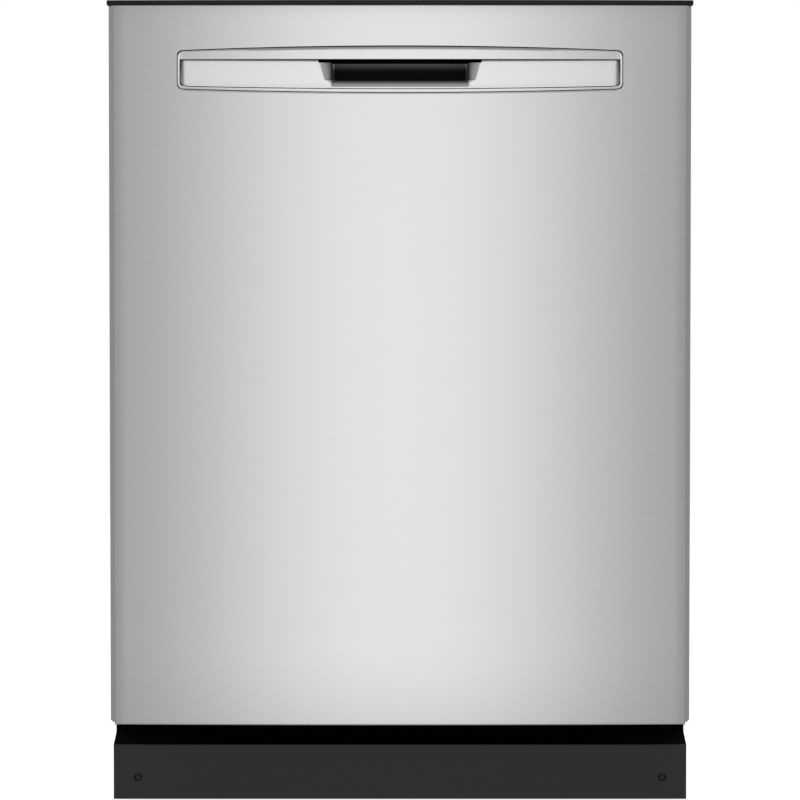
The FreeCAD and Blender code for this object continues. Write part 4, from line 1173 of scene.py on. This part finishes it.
arms = {
    # axis of all three, blade half width, how much it narrows and thins towards its tip
    "axisY": 40, "wide": 17, "narrowing": 0.30, "thinning": 0.25, "tip": 12, "jetOffset": 5,
    # node: reach, low, high, hub section, hub radius, jets on each side
    "lower_spray_arm": (222, 141, 153, [(12.1, 136), (23, 136), (25, 138), (25, 153), (21, 156), (12.1, 156),
                                        (12.1, 136)], 25, 7),
    "middle_spray_arm": (212, 450, 462, [(0, 448), (20, 448), (22, 450), (22, 462), (20, 464), (10.1, 464),
                                         (10.1, 455), (0, 455)], 22, 7),
    "top_spray_arm": (150, 770, 782, [(0, 769), (18, 769), (20, 771), (20, 782), (18, 784), (10.1, 784),
                                      (10.1, 775), (0, 775)], 20, 5),
}


def sprayArm(node, reach, low, high, section, hub, jets):
    # winged blade on each side of a hub, with a row of raised nozzles
    pieces = []
    axisY, tipLong = arms["axisY"], arms["tip"]
    for side in (-1, 1):
        points, ring = [], 20
        stations = spread(hub - 5, reach - tipLong, 22)
        stations += [reach - tipLong + tipLong * math.sin(math.radians(a)) for a in (25, 45, 65, 80)]
        for x in stations:
            share = x / reach
            tip = math.sqrt(max(0.02, 1 - max(0.0, (x - reach + tipLong) / (tipLong + 0.2)) ** 2))
            wide = arms["wide"] * (1 - arms["narrowing"] * share ** 1.6) * tip
            tall = (high - low) / 2 * (1 - arms["thinning"] * share) * (0.35 + 0.65 * tip)
            for k in range(ring):
                bend = 2 * math.pi * k / ring
                c, s = math.cos(bend), math.sin(bend)
                points.append((side * x, axisY + wide * math.copysign(abs(c) ** 0.7, c),
                               (low + high) / 2 + tall * math.copysign(abs(s) ** 0.8, s)))
        faces = gridFaces(len(stations), ring, True)
        faces += [tuple(range(ring)), tuple(range(len(points) - ring, len(points)))]
        blade = newObject("blade", meshFrom("blade", points, faces))
        recalcNormals(blade.data)
        pieces.append(painted(blade, greyPolypropylene))
    pieces.append(painted(turned("hub", section, 40, "z", (0, axisY, 0)), greyPolypropylene))
    jet = turned("jet", [(1.2, -1.5), (3.4, -1.5), (3.4, 0.3), (2.4, 0.9), (1.2, 0.9), (1.2, -1.5)], 14, "z")
    spots = []
    for side in (-1, 1):
        for k in range(jets):
            x = hub + 10 + (reach - hub - 26) * k / (jets - 1)
            z = (low + high) / 2 + (high - low) / 2 * (1 - arms["thinning"] * x / reach)
            spots.append((side * x, axisY + (-1) ** k * arms["jetOffset"], z))
    pieces.append(rowOf("jets", jet, spots, darkPolypropylene))
    assemble(node + "Blade", pieces, node, node, 40)


rack = {
    # both baskets: half width, wire spacing as counts, floor wires, hoops, corner bend
    "half": 250, "across": 9, "along": 10, "wire": 1.55, "hoop": 2.0, "bend": 14.0, "allow": 3.4,
    # front, back, floor, rim
    "lower": (-216, 256, 173, 306.4), "upper": (-240, 254, 484, 605.4),
    # wheels of the lower rack: places, height of the axle
    "wheels": {"front_rack_wheels": -114, "rear_rack_wheels": 150}, "axleZ": 148.3,
    # folding tine rows: x of each, pivot height, tip height
    "tineRows": {"left_tine_row": -120, "centre_tine_row": 20}, "pivotZ": 184, "tineTop": 262,
    "tineWire": 1.5, "tineBase": 1.7,
    # fixed tines of the upper rack
    "fixedX": (-90, 90), "fixedZ": 489, "fixedTop": 545,
    # folding cup shelves: outer and inner edge, height, bar and frame wire
    "shelfOuter": 242, "shelfInner": 157.5, "shelfZ": 553.5, "shelfBar": 1.2, "shelfFrame": 1.6,
}


def basketWires(name, front, back, floor, rim):
    # floor wires run up the walls; two hoops tie them together
    r, across, along = rack["allow"] / 2, rack["across"], rack["along"]
    side, low, high = rack["half"] - r, floor + r, rim - r
    near, far = front + r, back - r
    lines = []
    for k in range(across + 1):
        y = near + (back - front - 2 * r) * k / across
        if k in (0, across):
            lines.append([(-side, y, low), (side, y, low)])
        else:
            lines.append([(-side, y, high), (-side, y, low), (side, y, low), (side, y, high)])
    for k in range(1, along):
        x = -side + 2 * side * k / along
        lines.append([(x, near, high), (x, near, low), (x, far, low), (x, far, high)])
    hoops = [[(-side, near, z), (side, near, z), (side, far, z), (-side, far, z), None]
             for z in (high, (low + high) / 2)]
    return [wires(name + "Wires", lines, rack["wire"], rack["bend"], dippedVinyl),
            wires(name + "Hoops", hoops, rack["hoop"], rack["bend"], dippedVinyl)]


def uprightRow(name, spots, low, top, radius, finish):
    # tines with rounded tips, one on every spot
    tine = turned("tine", [(0, low), (radius, low), (radius, top - radius),
                           (radius * 0.7, top - radius * 0.3), (0, top)], 10)
    return rowOf(name, tine, spots, finish)


def lowerRack():
    parts = basketWires("lower", *rack["lower"])
    axleZ, half = rack["axleZ"], rack["half"]
    for side in (-1, 1):
        for y in rack["wheels"].values():
            near, far = sorted((side * 246.6, side * half))
            plate = roundedBlock("plate", (near, y - 6, 142.5), (far, y + 6, 176), 1.2)
            stub = turned("stub", [(0, 0), (3.9, 0), (3.9, 13.4), (3.2, 14), (0, 14)], 20, "x",
                          (249 if side > 0 else -263, y, axleZ))
            parts += [painted(plate, greyPolypropylene), painted(stub, greyPolypropylene)]
    assemble("lowerRack", parts, "lower_rack", "lower_rack", 50)
    for node, y in rack["wheels"].items():
        wheels = []
        for inner in (-260.5, 251.5):
            wheel = turned("wheel", [(4.1, 0), (6.4, 0), (6.4, 2), (11, 2), (11, 0.6), (12.8, 0), (14, 1.2),
                                     (14, 7.8), (12.8, 9), (11, 8.4), (11, 7), (6.4, 7), (6.4, 9), (4.1, 9),
                                     (4.1, 0)], 36, "x", (inner, y, axleZ))
            spoke = roundedBlock("spoke", (0.6, -0.9, 6), (8.4, 0.9, 11.4), 0.4, 2)
            spokes = rowOf("spokes", spoke, [(inner, y, axleZ)] * 6, darkPolypropylene,
                           [(60 * k + 30, 0, 0) for k in range(6)])
            wheels += [painted(wheel, darkPolypropylene), spokes]
        assemble(node + "Set", wheels, node, node, 40)
    z = rack["pivotZ"]
    for node, x in rack["tineRows"].items():
        bar = wires("tineBase", [[(x, -190, z), (x, 230, z)]], rack["tineBase"], 0, dippedVinyl, 10)
        row = uprightRow("tines", [(x, y, 0) for y in range(-180, 225, 40)], z, rack["tineTop"],
                         rack["tineWire"], dippedVinyl)
        assemble(node + "Wires", [bar, row], node, node, 50)


def cellWall(low, high, axis, nu, nv):
    # flat grid of cells across one axis, mm
    u, v = [a for a in range(3) if a != axis]
    points = []
    for i in range(nu + 1):
        for j in range(nv + 1):
            spot = list(low)
            spot[u] += (high[u] - low[u]) * i / nu
            spot[v] += (high[v] - low[v]) * j / nv
            points.append(tuple(spot))
    faces = gridFaces(nu + 1, nv + 1, flip=True)
    return points, [face[::-1] for face in faces] if axis == 1 else faces


basket = {
    # openwork box in two rows of four cells, mm
    "walls": (125, 176, 227), "front": -150, "back": 132, "cell": 70, "sheet": 2,
    "floor": 178, "low": 181, "high": 276, "rimTop": 282, "share": 0.66, "thick": 1.9,
    "bailX": 177, "bail": (-37, 19, 280, 319), "bailWire": 3,
}


def cutleryBasket():
    # openwork walls and floor, plain rims and a bail handle
    front, back, low, high = (basket[k] for k in ("front", "back", "low", "high"))
    left, middle, right = basket["walls"]
    sheet, rimLow, rimTop = basket["sheet"], high - 1, basket["rimTop"]
    crosswise = range(front, back - 1, basket["cell"])
    walls = [((x, front, low), (x, back, high), 0, 31, 9) for x in basket["walls"]]
    for y in crosswise:
        walls += [((left + sheet, y, low), (middle, y, high), 1, 5, 9),
                  ((middle + sheet, y, low), (right, y, high), 1, 5, 9)]
    walls.append(((left + 1, front + 1, basket["floor"]), (right + 1, back - 1, basket["floor"]), 2, 11, 30))
    parts = [sieve("wall", *cellWall(*wall), basket["share"], basket["thick"], greyPolypropylene)
             for wall in walls]
    bars = [((x, front, rimLow), (x + sheet, back, rimTop)) for x in basket["walls"]]
    bars += [((left, y, rimLow), (right + sheet, y + sheet, rimTop)) for y in crosswise]
    parts += [painted(roundedBlock("rim", near, far, 0.8, 2), greyPolypropylene) for near, far in bars]
    x = basket["bailX"]
    near, far, foot, top = basket["bail"]
    parts.append(wires("bail", [[(x, near, foot), (x, near, top), (x, far, top), (x, far, foot)]],
                       basket["bailWire"], 8, greyPolypropylene, 12))
    assemble("cutleryBasket", parts, "lower_rack", "silverware_basket", 40)


def upperRack():
    parts = basketWires("upper", *rack["upper"])
    z = rack["fixedZ"]
    for x in rack["fixedX"]:
        parts.append(wires("fixedBase", [[(x, -205, z), (x, 225, z)]], rack["tineBase"], 0, dippedVinyl))
        parts.append(uprightRow("fixedTines", [(x, y, 0) for y in range(-195, 221, 42)], z, rack["fixedTop"],
                                rack["tineWire"], dippedVinyl))
    for side in (-1, 1):
        low, high = sorted((side * 263.4, side * 268.2))
        parts.append(painted(roundedBlock("rail", (low, -238, 573), (high, 231, 597), 1.2), satinStainless))
        for y in (-180, 0, 180):
            low, high = sorted((side * 248, side * 264.5))
            parts.append(painted(roundedBlock("arm", (low, y - 12, 579), (high, y + 12, 591), 1.5),
                                 greyPolypropylene))
    # the middle spray arm hangs from this pin and is fed through the flat duct
    pin = turned("hubPin", [(0, 456), (9.9, 456), (9.9, 468.5), (0, 468.5)], 32, "z", (0, arms["axisY"], 0))
    duct = roundedBlock("feed", (-14, 26, 468), (14, 257.4, 484), 4)
    parts += [painted(pin, greyPolypropylene), painted(duct, greyPolypropylene)]
    assemble("upperRack", parts, "upper_rack", "upper_rack", 50)
    z = rack["shelfZ"]
    for node, side in (("left_cup_shelf", -1), ("right_cup_shelf", 1)):
        outer, inner = side * rack["shelfOuter"], side * rack["shelfInner"]
        centre = side * (rack["shelfOuter"] + rack["shelfInner"] - 0.5) / 2
        bars = [[(outer, y, z), (inner, y, z)] for y in range(-180, 181, 20)]
        border = [[(outer, -183, z), (inner, -183, z), (inner, 183, z), (outer, 183, z), None],
                  [(centre, -180, z), (centre, 180, z)]]
        assemble(node + "Wires", [wires("bars", bars, rack["shelfBar"], 0, greyPolypropylene),
                                  wires("hoop", border, rack["shelfFrame"], 6, greyPolypropylene)],
                 node, node, 50)
    softPiece("rack_tracks", "rackTracks", "cabinet", satinStainless, 0.3)
    softPiece("slide_rails", "slideRails", "slide_rails", satinStainless, 0.8)


washTub()
innerDoor()
doorFittings()
print("tub and inner door made")
cabinetFront()
soundBlanket()
baseParts()
sumpParts()
pumpParts()
print("cabinet parts made")
for node in ("lower_spray_arm", "middle_spray_arm", "top_spray_arm"):
    sprayArm(node, *arms[node])
lowerRack()
cutleryBasket()
upperRack()
print("arms and racks made")

studio = {
    "cameraAway": 4.0, "cameraHigh": 0.5861, "pitch": 2.3, "lens": 173.4,
    "backdrop": 1.0, "fill": 0.36, "glow": 0.8,
}
floorMesh = bpy.data.meshes.new("studioFloor")
floorMesh.from_pydata([(-4, -4, 0), (4, -4, 0), (4, 4, 0), (-4, 4, 0)], [], [(0, 1, 2, 3)])
floorPiece = newObject("studioFloor", floorMesh)
# back-lit white sweep: glows a little, so that shadows on it stay faint
floorPaper, tree, shader, place = newMaterial("floorPaper", {
    "Roughness": 0.9, "Emission Color": (1.0, 1.0, 1.0, 1.0), "Emission Strength": studio["glow"]})
noise = addNode(tree, "ShaderNodeTexNoise", {"Scale": 3.0}, {"Vector": (place, "Object")})
varied(tree, shader, "Base Color", noise, hexColour("#a8a8a7"), hexColour("#adadac"))
floorMesh.materials.append(floorPaper)
floorPiece.location.z = -0.0005
floorPiece.visible_glossy = False  # steel mirrors the light box, not the paper
floorPiece.visible_shadow = False

world = bpy.data.worlds.new("studioAir")
bpy.context.scene.world = world
world.use_nodes = True
tree = world.node_tree
sky = [n for n in tree.nodes if n.type == "BACKGROUND"][0]
sky.inputs["Strength"].default_value = studio["fill"]
sky.inputs["Color"].default_value = (1.0, 1.0, 1.0, 1.0)
white = addNode(tree, "ShaderNodeBackground", {"Strength": studio["backdrop"], "Color": (1.0, 1.0, 1.0, 1.0)})
rays = addNode(tree, "ShaderNodeLightPath")
blendAir = addNode(tree, "ShaderNodeMixShader", None,
                   {0: (rays, "Is Camera Ray"), 1: (sky, "Background"), 2: (white, "Background")})
output = [n for n in tree.nodes if n.type == "OUTPUT_WORLD"][0]
tree.links.new(blendAir.outputs["Shader"], output.inputs["Surface"])

softboxes = {
    # name: place, aim, width, height, watts
    "frontBox": ((0.0, -6.6, 0.3), (0.0, -0.3, 0.42), 1.6, 7.2, 47.0),
    "topBox": ((0.0, 2.0, 4.2), (0.0, 2.0, 0.0), 7.0, 5.0, 230.0),
}
for name, (spot, aim, wide, high, watts) in softboxes.items():
    light = bpy.data.lights.new(name, "AREA")
    light.shape = "RECTANGLE"
    light.size, light.size_y, light.energy = wide, high, watts
    lamp = bpy.data.objects.new(name, light)
    bpy.context.scene.collection.objects.link(lamp)
    lamp.location = spot
    lamp.rotation_euler = (Vector(aim) - Vector(spot)).to_track_quat("-Z", "Y").to_euler()

lensData = bpy.data.cameras.new("studioCamera")
lensData.lens = studio["lens"]
lensData.sensor_width = 36.0
lensData.clip_end = 100.0
camera = bpy.data.objects.new("studioCamera", lensData)
bpy.context.scene.collection.objects.link(camera)
camera.location = (0.0, -0.3175 - studio["cameraAway"], studio["cameraHigh"])
camera.rotation_euler = (math.radians(90.0 - studio["pitch"]), 0.0, 0.0)
bpy.context.scene.camera = camera
bpy.context.scene.view_settings.view_transform = "Standard"
print("studio made")
